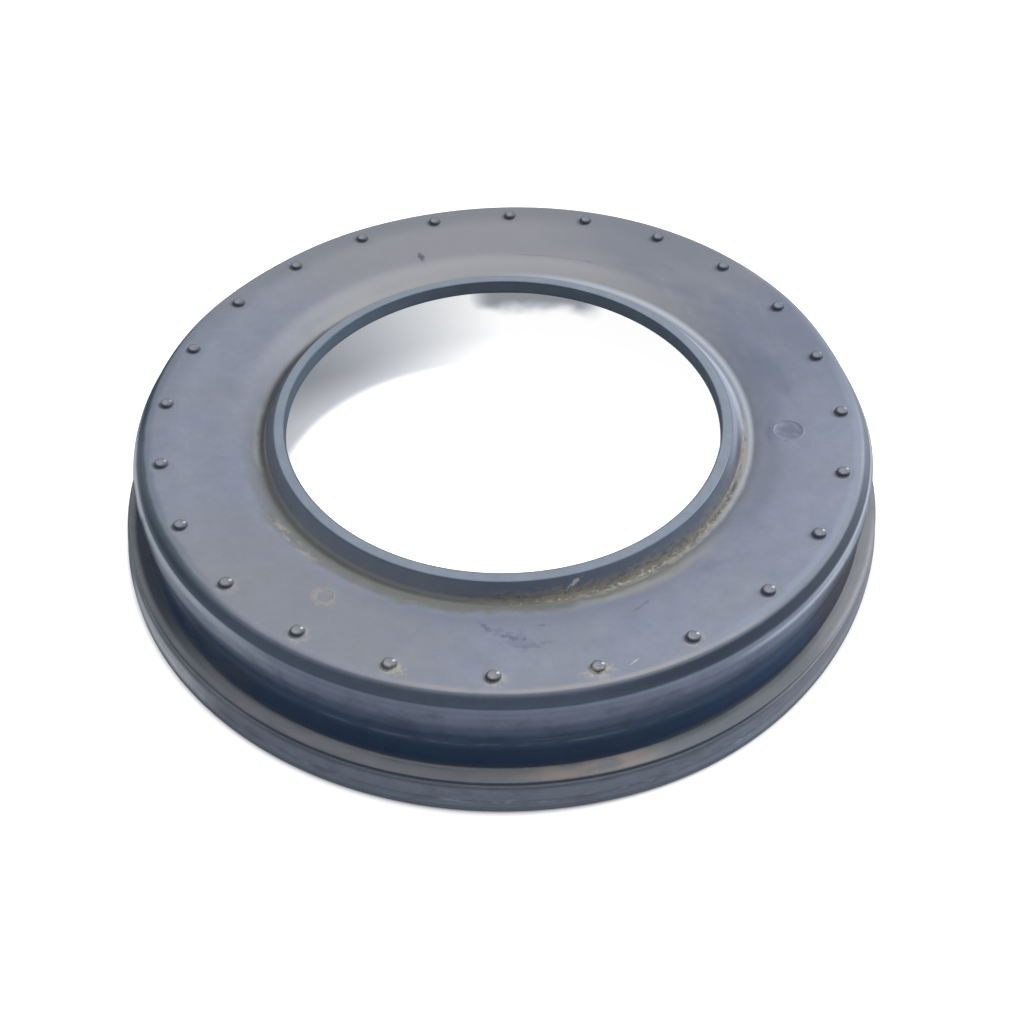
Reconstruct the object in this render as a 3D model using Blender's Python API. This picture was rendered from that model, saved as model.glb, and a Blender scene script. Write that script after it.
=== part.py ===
"""Brake booster diaphragm: one rubber moulding, turned from a single section, with a ring of nubs.

Metres, +Z up. The origin is the centre of the base circle that the outer bead stands on, and the
first nub lies on +X. The section is read outwards from the bore: inner lip, dished web, rim corner,
rolling wall with its waist, ledge and outer bead. The underside follows it one skin thickness below.
"""

import math

import bmesh
import bpy
from mathutils import Matrix

MM = 0.001

# Overall sizes
OUTER_DIAMETER = 250.0 * MM
BORE_DIAMETER = 139.4 * MM
RIM_HEIGHT = 39.9 * MM
SKIN_THICKNESS = 2.0 * MM

# Inner lip, which grips the hub of the booster's piston
LIP_TOP_WIDTH = 3.4 * MM
LIP_TOP_DROP = 1.75 * MM
LIP_DEPTH = 4.9 * MM
LIP_FLARE = 3.9 * MM
LIP_EDGE_RADIUS = 0.5 * MM
LIP_HEEL_RADIUS = 0.8 * MM
LIP_ROOT_RADIUS = 2.0 * MM

# Web: a shallow cone that rolls down to the lip
DISH_WIDTH = 7.0 * MM
DISH_SLOPE = math.radians(32.0)
DISH_RADIUS = 25.0 * MM
WEB_SLOPE = math.radians(5.0)

# Rolling wall, from the rim corner down to the ledge
RIM_INSET = 11.0 * MM
RIM_RADIUS = 2.4 * MM
COLLAR_WIDTH = 2.05 * MM
COLLAR_SLOPE = math.radians(64.0)
ROLL_STANDOFF = 1.55 * MM
SHOULDER_SLOPE = math.radians(35.0)
ROLL_RADIUS = 3.5 * MM
ROLL_HEIGHT = 7.1 * MM
FLANK_RADIUS = 8.0 * MM
WAIST_DEPTH = 1.6 * MM
WAIST_DROP = 6.5 * MM
WAIST_RADIUS = 10.0 * MM
ROOT_FLARE = 1.7 * MM
ROOT_RADIUS = 2.0 * MM

# Outer bead, which the booster's two shells clamp
BEAD_WIDTH = 11.0 * MM
BEAD_HEIGHT = 11.6 * MM
LEDGE_INSET = 2.1 * MM
STEP_DEPTH = 1.2 * MM
STEP_WIDTH = 0.9 * MM
STEP_RADIUS = 0.6 * MM
FOOT_FLARE = 0.9 * MM
FOOT_HEIGHT = 3.0 * MM
FOOT_RISE = 1.2 * MM
FOOT_RADIUS = 1.2 * MM
HEEL_RADIUS = 1.0 * MM

# Nubs that keep the web off the shell
NUB_COUNT = 24
NUB_DIAMETER = 4.0 * MM
NUB_HEIGHT = 1.2 * MM
NUB_CROWN = 0.12 * MM
NUB_EDGE = 0.4 * MM
NUB_INSET = 6.0 * MM
NUB_SINK = 0.9 * MM

# Facets
SEGMENTS_PER_NUB = 3
NUB_SEGMENTS = 10
CHORD_SAG = 0.12 * MM
MERGE_DISTANCE = 0.001 * MM

RUBBER_COLOUR = (0.085, 0.100, 0.130, 1.0)
RUBBER_ROUGHNESS = 0.55
SHARP_ANGLE = math.radians(35.0)


def clear_scene():
    """Remove every object of the open file."""
    for thing in list(bpy.data.objects):
        bpy.data.objects.remove(thing, do_unlink=True)


def web_height(radius):
    """Return the height of the web's upper side at a radius, before its corners are rounded."""
    rim = OUTER_DIAMETER / 2 - RIM_INSET
    knee = BORE_DIAMETER / 2 + LIP_TOP_WIDTH + LIP_FLARE + DISH_WIDTH
    knee_height = RIM_HEIGHT - (rim - knee) * math.tan(WEB_SLOPE)
    if radius >= knee:
        return RIM_HEIGHT - (rim - radius) * math.tan(WEB_SLOPE)
    return knee_height - (knee - radius) * math.tan(DISH_SLOPE)


def skin_corners():
    """Return the corners of the moulding's upper side from the lip to the ledge.

    Each corner is its radius from the axis, its height and its own rounding radius.
    """
    lip_top = RIM_HEIGHT - LIP_TOP_DROP
    lip_edge = BORE_DIAMETER / 2 + LIP_TOP_WIDTH
    lip_root = lip_edge + LIP_FLARE
    knee = lip_root + DISH_WIDTH
    rim = OUTER_DIAMETER / 2 - RIM_INSET
    crease = rim + COLLAR_WIDTH
    crease_height = RIM_HEIGHT - COLLAR_WIDTH * math.tan(COLLAR_SLOPE)
    roll = crease + ROLL_STANDOFF
    roll_top = crease_height - ROLL_STANDOFF * math.tan(SHOULDER_SLOPE)
    roll_foot = roll_top - ROLL_HEIGHT
    waist = roll - WAIST_DEPTH
    return [
        (lip_edge, lip_top, LIP_EDGE_RADIUS),
        (lip_root, web_height(lip_root), LIP_ROOT_RADIUS),
        (knee, web_height(knee), DISH_RADIUS),
        (rim, RIM_HEIGHT, RIM_RADIUS),
        (crease, crease_height, 0.0),
        (roll, roll_top, ROLL_RADIUS),
        (roll, roll_foot, FLANK_RADIUS),
        (waist, roll_foot - WAIST_DROP, WAIST_RADIUS),
        (waist + ROOT_FLARE, BEAD_HEIGHT, ROOT_RADIUS),
    ]


def bead_corners():
    """Return the corners of the outer bead from the ledge's edge round to its inner heel."""
    outside = OUTER_DIAMETER / 2
    ledge = outside - LEDGE_INSET
    shelf = BEAD_HEIGHT - STEP_DEPTH
    return [
        (ledge, BEAD_HEIGHT, 0.0),
        (ledge, shelf, 0.0),
        (ledge + STEP_WIDTH, shelf, STEP_RADIUS),
        (outside - FOOT_FLARE, FOOT_HEIGHT + FOOT_RISE, 0.0),
        (outside, FOOT_HEIGHT, 0.0),
        (outside, 0.0, FOOT_RADIUS),
        (outside - BEAD_WIDTH, 0.0, HEEL_RADIUS),
    ]


def turn_between(before, corner, after):
    """Return the signed angle that a path turns through at a corner."""
    first = math.atan2(corner[1] - before[1], corner[0] - before[0])
    second = math.atan2(after[1] - corner[1], after[0] - corner[0])
    return (second - first + math.pi) % (2 * math.pi) - math.pi


def underside_corners(skin):
    """Return the corners one skin thickness below the given ones, from the wall back to the lip.

    The first and last corners of the skin only give directions. A rounding that bulges upwards
    gets tighter by the skin thickness, and one that sags gets wider by it.
    """
    corners = []
    for before, corner, after in zip(skin, skin[1:], skin[2:]):
        turn = turn_between(before, corner, after)
        heading = math.atan2(corner[1] - before[1], corner[0] - before[0]) + turn / 2
        reach = SKIN_THICKNESS / math.cos(turn / 2)
        radius = max(corner[2] + math.copysign(SKIN_THICKNESS, turn), 0.0)
        corners.append((
            corner[0] + reach * math.sin(heading),
            corner[1] - reach * math.cos(heading),
            radius,
        ))
    return corners[::-1]


def section_corners():
    """Return the corners of the whole closed section, in order round it."""
    bore = BORE_DIAMETER / 2
    skin = skin_corners()
    lip_top = skin[0][1]
    return (
        [(bore, lip_top, 0.0)]
        + skin
        + bead_corners()
        + underside_corners(skin)
        + [(bore, lip_top - LIP_DEPTH, LIP_HEEL_RADIUS)]
    )


def rounded_section(corners):
    """Return the points of a closed section with each corner rounded to an arc.

    A rounding is limited to what the straight sides next to it leave room for.
    """
    count = len(corners)
    turns = [turn_between(corners[i - 1], corners[i], corners[(i + 1) % count]) for i in range(count)]
    reaches = [corners[i][2] * abs(math.tan(turns[i] / 2)) for i in range(count)]
    sides = [math.dist(corners[i][:2], corners[(i + 1) % count][:2]) for i in range(count)]
    points = []
    for i, (radius, height, _) in enumerate(corners):
        side_before, side_after = sides[i - 1], sides[i]
        room_before = side_before / max(reaches[i - 1] + reaches[i], side_before)
        room_after = side_after / max(reaches[(i + 1) % count] + reaches[i], side_after)
        reach = reaches[i] * min(room_before, room_after)
        points += corner_arc(corners[i - 1], (radius, height), turns[i], reach)
    return points


def corner_arc(before, corner, turn, reach):
    """Return the points of the arc that rounds one corner, touching its sides at the given reach."""
    if reach <= MERGE_DISTANCE:
        return [corner]
    bend = reach / abs(math.tan(turn / 2))
    heading = math.atan2(corner[1] - before[1], corner[0] - before[0])
    side = math.copysign(1.0, turn)
    start = (corner[0] - reach * math.cos(heading), corner[1] - reach * math.sin(heading))
    centre = (start[0] - side * bend * math.sin(heading), start[1] + side * bend * math.cos(heading))
    widest_step = 2 * math.acos(max(1 - CHORD_SAG / bend, 0.0))
    steps = max(1, math.ceil(abs(turn) / widest_step))
    points = []
    for step in range(steps + 1):
        angle = heading + turn * step / steps
        points.append((
            centre[0] + side * bend * math.sin(angle),
            centre[1] - side * bend * math.cos(angle),
        ))
    return points


def spin_mesh(name, points, closed, start_angle, segments):
    """Return a closed mesh turned about the Z axis from a section in radius and height."""
    mesh_maker = bmesh.new()
    corners = [
        mesh_maker.verts.new((r * math.cos(start_angle), r * math.sin(start_angle), z))
        for r, z in points
    ]
    edges = [mesh_maker.edges.new(pair) for pair in zip(corners, corners[1:])]
    if closed:
        edges.append(mesh_maker.edges.new((corners[-1], corners[0])))
    bmesh.ops.spin(
        mesh_maker,
        geom=corners + edges,
        cent=(0.0, 0.0, 0.0),
        axis=(0.0, 0.0, 1.0),
        angle=2 * math.pi,
        steps=segments,
        use_merge=True,
    )
    bmesh.ops.remove_doubles(mesh_maker, verts=mesh_maker.verts, dist=MERGE_DISTANCE)
    bmesh.ops.recalc_face_normals(mesh_maker, faces=mesh_maker.faces)
    mesh = bpy.data.meshes.new(name)
    mesh_maker.to_mesh(mesh)
    mesh_maker.free()
    return mesh


def nub_points():
    """Return the section of one nub about its own axis, from its crown down to its sunk base."""
    radius = NUB_DIAMETER / 2
    brink = NUB_HEIGHT - NUB_CROWN
    return [
        (0.0, NUB_HEIGHT),
        (radius - NUB_EDGE, brink),
        (radius, brink - NUB_EDGE),
        (radius, -NUB_SINK),
        (0.0, -NUB_SINK),
    ]


def nub_ring():
    """Return the object that holds all the nubs, each a body of its own sunk into the web."""
    circle = OUTER_DIAMETER / 2 - RIM_INSET - NUB_INSET
    nub = spin_mesh("nub", nub_points(), False, 0.0, NUB_SEGMENTS)
    mesh_maker = bmesh.new()
    for index in range(NUB_COUNT):
        angle = 2 * math.pi * index / NUB_COUNT
        mesh_maker.from_mesh(nub)
        mesh_maker.verts.ensure_lookup_table()
        fresh = mesh_maker.verts[-len(nub.vertices):]
        place = Matrix.Rotation(angle, 4, "Z") @ Matrix.Translation((circle, 0.0, web_height(circle)))
        bmesh.ops.transform(mesh_maker, matrix=place, verts=fresh)
    mesh = bpy.data.meshes.new("nub_ring")
    mesh_maker.to_mesh(mesh)
    mesh_maker.free()
    ring = bpy.data.objects.new("nub_ring", mesh)
    bpy.context.collection.objects.link(ring)
    ring.hide_render = True
    ring.display_type = "WIRE"
    return ring


def moulded_rubber():
    """Return the dark satin rubber that the whole moulding is made of."""
    material = bpy.data.materials.new("moulded_rubber")
    material.use_nodes = True
    shader = material.node_tree.nodes["Principled BSDF"]
    shader.inputs["Base Color"].default_value = RUBBER_COLOUR
    shader.inputs["Roughness"].default_value = RUBBER_ROUGHNESS
    shader.inputs["Metallic"].default_value = 0.0
    return material


def build_diaphragm():
    """Turn the section into the moulding and raise the nubs on its web."""
    segments = NUB_COUNT * SEGMENTS_PER_NUB
    half_facet = math.pi / segments
    mesh = spin_mesh("diaphragm", rounded_section(section_corners()), True, half_facet, segments)
    diaphragm = bpy.data.objects.new("diaphragm", mesh)
    bpy.context.collection.objects.link(diaphragm)
    mesh.materials.append(moulded_rubber())
    mesh.shade_smooth()
    mesh.set_sharp_from_angle(angle=SHARP_ANGLE)
    union = diaphragm.modifiers.new("raise_nubs", "BOOLEAN")
    union.operation = "UNION"
    union.solver = "EXACT"
    union.object = nub_ring()
    return diaphragm


clear_scene()
build_diaphragm()
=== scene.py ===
"""Dressed scene of a brake booster diaphragm: one rubber moulding lying on its bead on a pale floor.

The classes hold lengths in millimetres and angles in degrees, and their meshes are made in metres.
Bearings are read anticlockwise from +X, which passes through the first nub.
"""

import logging
import math
from dataclasses import dataclass, field
from enum import Enum
from typing import Any, NamedTuple, Sequence

import bmesh
import bpy
import numpy as np
from mathutils import Matrix, Vector


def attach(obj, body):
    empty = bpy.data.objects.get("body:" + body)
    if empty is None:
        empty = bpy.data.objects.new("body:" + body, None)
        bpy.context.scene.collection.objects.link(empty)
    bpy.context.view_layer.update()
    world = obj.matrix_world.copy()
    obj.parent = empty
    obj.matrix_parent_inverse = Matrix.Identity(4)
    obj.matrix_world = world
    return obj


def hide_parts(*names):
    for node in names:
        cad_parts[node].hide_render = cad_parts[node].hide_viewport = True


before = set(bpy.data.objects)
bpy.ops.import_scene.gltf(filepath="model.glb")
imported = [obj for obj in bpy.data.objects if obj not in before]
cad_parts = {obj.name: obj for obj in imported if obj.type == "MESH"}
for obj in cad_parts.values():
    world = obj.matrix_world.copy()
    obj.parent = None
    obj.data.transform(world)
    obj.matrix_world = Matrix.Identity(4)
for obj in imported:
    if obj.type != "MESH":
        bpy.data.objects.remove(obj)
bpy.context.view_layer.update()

MM = 0.001
log = logging.getLogger("diaphragm")


def linear(code: str) -> tuple[float, float, float, float]:
    """Turn an sRGB hex colour into the linear colour that a shader takes.

    Args:
        code: Colour as "#rrggbb".

    Returns:
        Red, green, blue and an alpha of 1.
    """
    channels = [int(code[i:i + 2], 16) / 255 for i in (1, 3, 5)]
    red, green, blue = [c / 12.92 if c <= 0.04045 else ((c + 0.055) / 1.055) ** 2.4 for c in channels]
    return red, green, blue, 1.0


def add_node(
    tree: bpy.types.NodeTree,
    kind: str,
    settings: dict[str, Any] | None = None,
    inputs: dict[str | int, Any] | None = None,
    output: str | int = 0,
) -> bpy.types.NodeSocket | None:
    """Add a shader node with its settings and links.

    Args:
        tree: Node tree that takes the node.
        kind: Blender's type name of the node.
        settings: Properties of the node by name.
        inputs: Values by socket name or number. A socket given as a value is linked.
        output: Name or number of the output that is wanted.

    Returns:
        That output of the new node, or None where the node has no outputs.
    """
    node = tree.nodes.new(kind)
    for name, value in (settings or {}).items():
        setattr(node, name, value)
    for key, value in (inputs or {}).items():
        if isinstance(value, bpy.types.NodeSocket):
            tree.links.new(value, node.inputs[key])
        else:
            node.inputs[key].default_value = value
    return node.outputs[output] if node.outputs else None


def facing(
    tree: bpy.types.NodeTree, heading: bpy.types.NodeSocket, bearing: float
) -> bpy.types.NodeSocket:
    """Return how far a heading faces one bearing.

    Args:
        tree: Node tree that takes the node.
        heading: Flat direction from the axis, of length 1.
        bearing: Bearing in degrees.

    Returns:
        Cosine of the angle between the two.
    """
    around = math.radians(bearing)
    return add_node(
        tree, "ShaderNodeVectorMath", {"operation": "DOT_PRODUCT"},
        {0: heading, 1: (math.cos(around), math.sin(around), 0.0)}, "Value",
    )


class Place(Enum):
    """Named corners of the section, in order round it from the top of the bore."""

    BORE_TOP = "bore_top"
    LIP_EDGE = "lip_edge"
    LIP_ROOT = "lip_root"
    KNEE = "knee"
    NUB_INNER = "nub_inner"
    NUB_OUTER = "nub_outer"
    RIM = "rim"
    CREASE = "crease"
    ROLL = "roll"
    FLANK = "flank"
    WAIST = "waist"
    WALL_ROOT = "wall_root"
    LEDGE_EDGE = "ledge_edge"
    SHELF = "shelf"
    STEP = "step"
    BEAD_FOOT = "bead_foot"
    FOOT = "foot"
    SOLE = "sole"
    HEEL = "heel"
    UNDER = "under"
    BORE_FOOT = "bore_foot"


class Corner(NamedTuple):
    """One corner of the section, in millimetres."""

    place: Place
    radius: float
    height: float
    rounding: float = 0.0


def turn_between(before: Corner, corner: Corner, after: Corner) -> float:
    """Return the angle that the section turns through at a corner.

    Args:
        before: Corner ahead of it.
        corner: Corner that turns.
        after: Corner behind it.

    Returns:
        Signed angle in radians, positive anticlockwise.
    """
    first = math.atan2(corner.height - before.height, corner.radius - before.radius)
    second = math.atan2(after.height - corner.height, after.radius - corner.radius)
    return (second - first + math.pi) % (2 * math.pi) - math.pi


@dataclass
class Section:
    """Closed section of the moulding, from which it is turned."""

    outer_diameter: float = 250.0
    bore_diameter: float = 139.4
    rim_height: float = 39.9
    skin: float = 2.0
    lip_top_width: float = 3.4
    lip_top_drop: float = 1.75
    lip_depth: float = 4.9
    lip_flare: float = 3.9
    dish_width: float = 7.0
    dish_slope: float = 32.0
    web_slope: float = 5.0
    rim_inset: float = 11.0
    collar_width: float = 2.05
    collar_slope: float = 64.0
    roll_standoff: float = 1.55
    shoulder_slope: float = 35.0
    roll_height: float = 7.1
    waist_depth: float = 1.6
    waist_drop: float = 6.5
    root_flare: float = 1.7
    bead_width: float = 11.0
    bead_height: float = 11.6
    ledge_inset: float = 2.1
    step_depth: float = 1.2
    step_width: float = 0.9
    foot_flare: float = 0.9
    foot_height: float = 3.0
    foot_rise: float = 1.2
    nub_inset: float = 6.0
    nub_field: float = 8.4
    facet_turn: float = 8.0
    hidden_facet_turn: float = 14.0
    nub_side: float = 1.4
    seen_side: float = 2.6
    hidden_side: float = 6.0

    @property
    def nub_circle(self) -> float:
        """Radius of the circle that the nubs stand on."""
        return self.outer_diameter / 2 - self.rim_inset - self.nub_inset

    def web_height(self, radius: float) -> float:
        """Return the height of the web's upper side, before its corners are rounded.

        Args:
            radius: Distance from the axis.

        Returns:
            Height above the floor.
        """
        rim = self.outer_diameter / 2 - self.rim_inset
        knee = self.bore_diameter / 2 + self.lip_top_width + self.lip_flare + self.dish_width
        fall = math.tan(math.radians(self.web_slope))
        if radius >= knee:
            return self.rim_height - (rim - radius) * fall
        knee_height = self.rim_height - (rim - knee) * fall
        return knee_height - (knee - radius) * math.tan(math.radians(self.dish_slope))

    def upper_side(self) -> list[Corner]:
        """Work out the skin's upper side.

        Returns:
            Its corners from the lip out to the ledge.
        """
        lip_edge = self.bore_diameter / 2 + self.lip_top_width
        lip_root = lip_edge + self.lip_flare
        knee = lip_root + self.dish_width
        rim = self.outer_diameter / 2 - self.rim_inset
        crease = rim + self.collar_width
        crease_height = self.rim_height - self.collar_width * math.tan(math.radians(self.collar_slope))
        roll = crease + self.roll_standoff
        roll_top = crease_height - self.roll_standoff * math.tan(math.radians(self.shoulder_slope))
        flank = roll_top - self.roll_height
        waist = roll - self.waist_depth
        return [
            Corner(Place.LIP_EDGE, lip_edge, self.rim_height - self.lip_top_drop, 0.5),
            Corner(Place.LIP_ROOT, lip_root, self.web_height(lip_root), 2.0),
            Corner(Place.KNEE, knee, self.web_height(knee), 25.0),
            Corner(Place.RIM, rim, self.rim_height, 2.4),
            Corner(Place.CREASE, crease, crease_height),
            Corner(Place.ROLL, roll, roll_top, 3.5),
            Corner(Place.FLANK, roll, flank, 8.0),
            Corner(Place.WAIST, waist, flank - self.waist_drop, 10.0),
            Corner(Place.WALL_ROOT, waist + self.root_flare, self.bead_height, 2.0),
        ]

    def bead(self) -> list[Corner]:
        """Work out the outer bead.

        Returns:
            Its corners from the ledge's edge round to its heel.
        """
        outside = self.outer_diameter / 2
        ledge = outside - self.ledge_inset
        shelf = self.bead_height - self.step_depth
        return [
            Corner(Place.LEDGE_EDGE, ledge, self.bead_height, 0.5),
            Corner(Place.SHELF, ledge, shelf, 0.35),
            Corner(Place.STEP, ledge + self.step_width, shelf, 0.5),
            Corner(Place.BEAD_FOOT, outside - self.foot_flare, self.foot_height + self.foot_rise, 0.8),
            Corner(Place.FOOT, outside, self.foot_height, 0.5),
            Corner(Place.SOLE, outside, 0.0, 1.2),
            Corner(Place.HEEL, outside - self.bead_width, 0.0, 1.0),
        ]

    def underside(self) -> list[Corner]:
        """Work out the underside, one skin thickness below the upper side.

        Returns:
            Its corners from the wall back to the lip.
        """
        upper = self.upper_side()
        corners = []
        for before, corner, after in zip(upper, upper[1:], upper[2:]):
            turn = turn_between(before, corner, after)
            heading = math.atan2(corner.height - before.height, corner.radius - before.radius) + turn / 2
            reach = self.skin / math.cos(turn / 2)
            corners.append(Corner(
                Place.UNDER,
                corner.radius + reach * math.sin(heading),
                corner.height - reach * math.cos(heading),
                max(corner.rounding + math.copysign(self.skin, turn), 0.0),
            ))
        return corners[::-1]

    def corners(self) -> list[Corner]:
        """Put the whole section together.

        The field that the nubs stand on gets a corner at each side, so that facets end there.

        Returns:
            Every corner in order round the section.
        """
        bore = self.bore_diameter / 2
        lip_top = self.rim_height - self.lip_top_drop
        upper = self.upper_side()
        inner = self.nub_circle - self.nub_field / 2
        outer = inner + self.nub_field
        field_sides = [
            Corner(Place.NUB_INNER, inner, self.web_height(inner)),
            Corner(Place.NUB_OUTER, outer, self.web_height(outer)),
        ]
        rim = next(i for i, corner in enumerate(upper) if corner.place is Place.RIM)
        return (
            [Corner(Place.BORE_TOP, bore, lip_top, 0.3)]
            + upper[:rim] + field_sides + upper[rim:]
            + self.bead()
            + self.underside()
            + [Corner(Place.BORE_FOOT, bore, lip_top - self.lip_depth, 0.8)]
        )

    def stations(self) -> dict[Place, float]:
        """Measure how far along the section each named corner lies.

        Returns:
            Distance of each from the top of the bore.
        """
        corners = self.corners()
        along, found = 0.0, {corners[0].place: 0.0}
        for before, corner in zip(corners, corners[1:]):
            along += math.dist(before[1:3], corner[1:3])
            found.setdefault(corner.place, along)
        return found

    def station_at(self, radius: float, height: float) -> float:
        """Return how far along the section the nearest point of it lies.

        Args:
            radius: Distance from the axis.
            height: Height above the floor.

        Returns:
            Distance from the top of the bore, measured round the corners.
        """
        corners = self.corners()
        point = Vector((radius, height))
        best_gap, best_along, along = math.inf, 0.0, 0.0
        for before, corner in zip(corners, corners[1:] + corners[:1]):
            start, end = Vector(before[1:3]), Vector(corner[1:3])
            side = end - start
            share = min(max((point - start).dot(side) / side.length_squared, 0.0), 1.0)
            gap = (start + side * share - point).length
            if gap < best_gap:
                best_gap, best_along = gap, along + share * side.length
            along += side.length
        return best_along

    def draw(self, maker: bmesh.types.BMesh, station: bmesh.types.BMLayerItem) -> None:
        """Draw the section as a closed wire with its corners rounded and its sides divided.

        Args:
            maker: Empty mesh that takes the wire, in the XZ plane.
            station: Layer that keeps each point's distance along the section.
        """
        corners = self.corners()
        count = len(corners)
        points = [maker.verts.new((c.radius * MM, 0.0, c.height * MM)) for c in corners]
        maker.faces.new(points)
        for i, corner in enumerate(corners):
            turn = abs(turn_between(corners[i - 1], corner, corners[(i + 1) % count]))
            if corner.rounding == 0.0 or turn < 1e-6:
                continue
            step = self.hidden_facet_turn if corner.place is Place.UNDER else self.facet_turn
            bmesh.ops.bevel(
                maker,
                geom=[points[i]],
                offset=corner.rounding * math.tan(turn / 2) * MM,
                offset_type="OFFSET",
                segments=max(3, math.ceil(math.degrees(turn) / step)),
                profile=0.5,
                affect="VERTICES",
                material=-1,
                clamp_overlap=True,
            )
        bmesh.ops.delete(maker, geom=list(maker.faces), context="FACES_ONLY")
        stations = self.stations()
        for point in maker.verts:
            point[station] = self.station_at(point.co.x / MM, point.co.z / MM)
        for edge in list(maker.edges):
            middle = (edge.verts[0][station] + edge.verts[1][station]) / 2
            if stations[Place.NUB_INNER] < middle < stations[Place.NUB_OUTER]:
                longest = self.nub_side
            else:
                longest = self.seen_side if middle < stations[Place.SOLE] else self.hidden_side
            cuts = math.ceil(edge.calc_length() / (longest * MM) - 0.01) - 1
            if cuts > 0:
                bmesh.ops.subdivide_edges(maker, edges=[edge], cuts=cuts)
        for point in maker.verts:
            point[station] = self.station_at(point.co.x / MM, point.co.z / MM)


@dataclass
class Web:
    """Upper side of the moulding's web, which small round forms are let into."""

    maker: bmesh.types.BMesh
    station: bmesh.types.BMLayerItem
    section: Section
    faces: list[bmesh.types.BMFace] = field(default_factory=list)

    def __post_init__(self) -> None:
        """Find the web's faces by how far along the section they lie."""
        stations = self.section.stations()
        low, high = stations[Place.LIP_ROOT], stations[Place.RIM]
        self.faces = [
            face for face in self.maker.faces
            if all(low < corner[self.station] < high for corner in face.verts)
        ]

    def patch_at(self, place: Matrix, side: float) -> list[bmesh.types.BMFace]:
        """Return the faces of a square patch of the web.

        Args:
            place: Middle and directions of the patch.
            side: Side of the square in millimetres.

        Returns:
            Faces whose middles lie inside the square.
        """
        away, half, middle = place.inverted(), side / 2 * MM, place.translation
        patch = []
        for face in self.faces:
            if face.is_valid and (face.verts[0].co - middle).length < 2 * half:
                spot = away @ face.calc_center_median()
                if abs(spot.x) < half and abs(spot.y) < half:
                    patch.append(face)
        return patch


@dataclass
class Relief:
    """A small round form on the web, turned about its own axis and let into a patch of the web.

    The profile is read from the middle outwards as distance from its axis and height over the web.
    """

    radius: float
    bearing: float
    profile: Sequence[tuple[float, float]]
    patch: float
    steps: int = 20

    def set_in(self, web: Web) -> None:
        """Cut the patch out of the web and bridge the form into it.

        Args:
            web: Upper side of the moulding's web.
        """
        section, maker = web.section, web.maker
        turn = Matrix.Rotation(math.radians(self.bearing), 4, "Z")
        height = section.web_height(self.radius)
        tilt = Matrix.Rotation(-math.radians(section.web_slope), 4, "Y")
        place = turn @ Matrix.Translation(Vector((self.radius, 0.0, height)) * MM) @ tilt
        away = place.inverted()
        patch = web.patch_at(place, self.patch)
        inside = set(patch)
        outline = [
            edge for edge in {edge for face in patch for edge in face.edges}
            if sum(face in inside for face in edge.link_faces) == 1
        ]
        bmesh.ops.delete(maker, geom=patch, context="FACES")
        form = self.turned()
        maker.from_mesh(form)
        bpy.data.meshes.remove(form)
        fresh = [point for point in maker.verts if point.select]
        bmesh.ops.transform(maker, matrix=place, verts=fresh)
        along = section.station_at(self.radius, height)
        for point in fresh:
            point[web.station] = along
            point.select = False
        rims = {edge for point in fresh for edge in point.link_edges if edge.is_boundary}
        widest = max((away @ edge.verts[0].co).xy.length for edge in rims)
        foot = [edge for edge in rims if (away @ edge.verts[0].co).xy.length > widest * 0.9]
        crown = [edge for edge in rims if edge not in foot]
        bmesh.ops.bridge_loops(maker, edges=outline + foot)
        bmesh.ops.contextual_create(maker, geom=crown)

    def turned(self) -> bpy.types.Mesh:
        """Turn the form by itself about Z, over the origin.

        Returns:
            Its mesh, with all points selected.
        """
        maker = bmesh.new()
        wire = [maker.verts.new((x * MM, 0.0, z * MM)) for x, z in self.profile]
        sides = [maker.edges.new(pair) for pair in zip(wire, wire[1:])]
        bmesh.ops.spin(
            maker,
            geom=wire + sides,
            cent=(0.0, 0.0, 0.0),
            axis=(0.0, 0.0, 1.0),
            angle=2 * math.pi,
            steps=self.steps,
            use_merge=True,
        )
        for point in maker.verts:
            point.select = True
        mesh = bpy.data.meshes.new("relief")
        maker.to_mesh(mesh)
        maker.free()
        return mesh


@dataclass
class NubRing:
    """The low round nubs that keep the web off the booster's shell."""

    count: int = 24
    diameter: float = 4.0
    height: float = 1.2
    edge: float = 0.72
    dish: float = 0.12
    fillet: float = 0.3
    top_hole: float = 0.25
    arc_turns: tuple[float, ...] = (0.0, 22.5, 45.0, 67.5, 90.0)

    def profile(self) -> list[tuple[float, float]]:
        """Draw one nub, from its dished top to the fillet that runs out on the web.

        Returns:
            Distance from its axis and height of each point.
        """
        side = self.diameter / 2
        points = [
            (self.top_hole, self.height - self.dish),
            (side * 0.35, self.height - self.dish * 0.8),
            (side * 0.58, self.height - self.dish * 0.25),
        ]
        for turn in self.arc_turns[::-1]:
            angle = math.radians(turn)
            points.append((
                side - self.edge + self.edge * math.cos(angle),
                self.height - self.edge + self.edge * math.sin(angle),
            ))
        for turn in self.arc_turns:
            angle = math.radians(turn)
            points.append((
                side + self.fillet - self.fillet * math.cos(angle),
                self.fillet - self.fillet * math.sin(angle),
            ))
        return points

    def raise_on(self, web: Web) -> None:
        """Raise the nub of one sector, whose middle lies on +X.

        Args:
            web: Upper side of the sector's web.
        """
        Relief(web.section.nub_circle, 0.0, self.profile(), web.section.nub_field).set_in(web)


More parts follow.
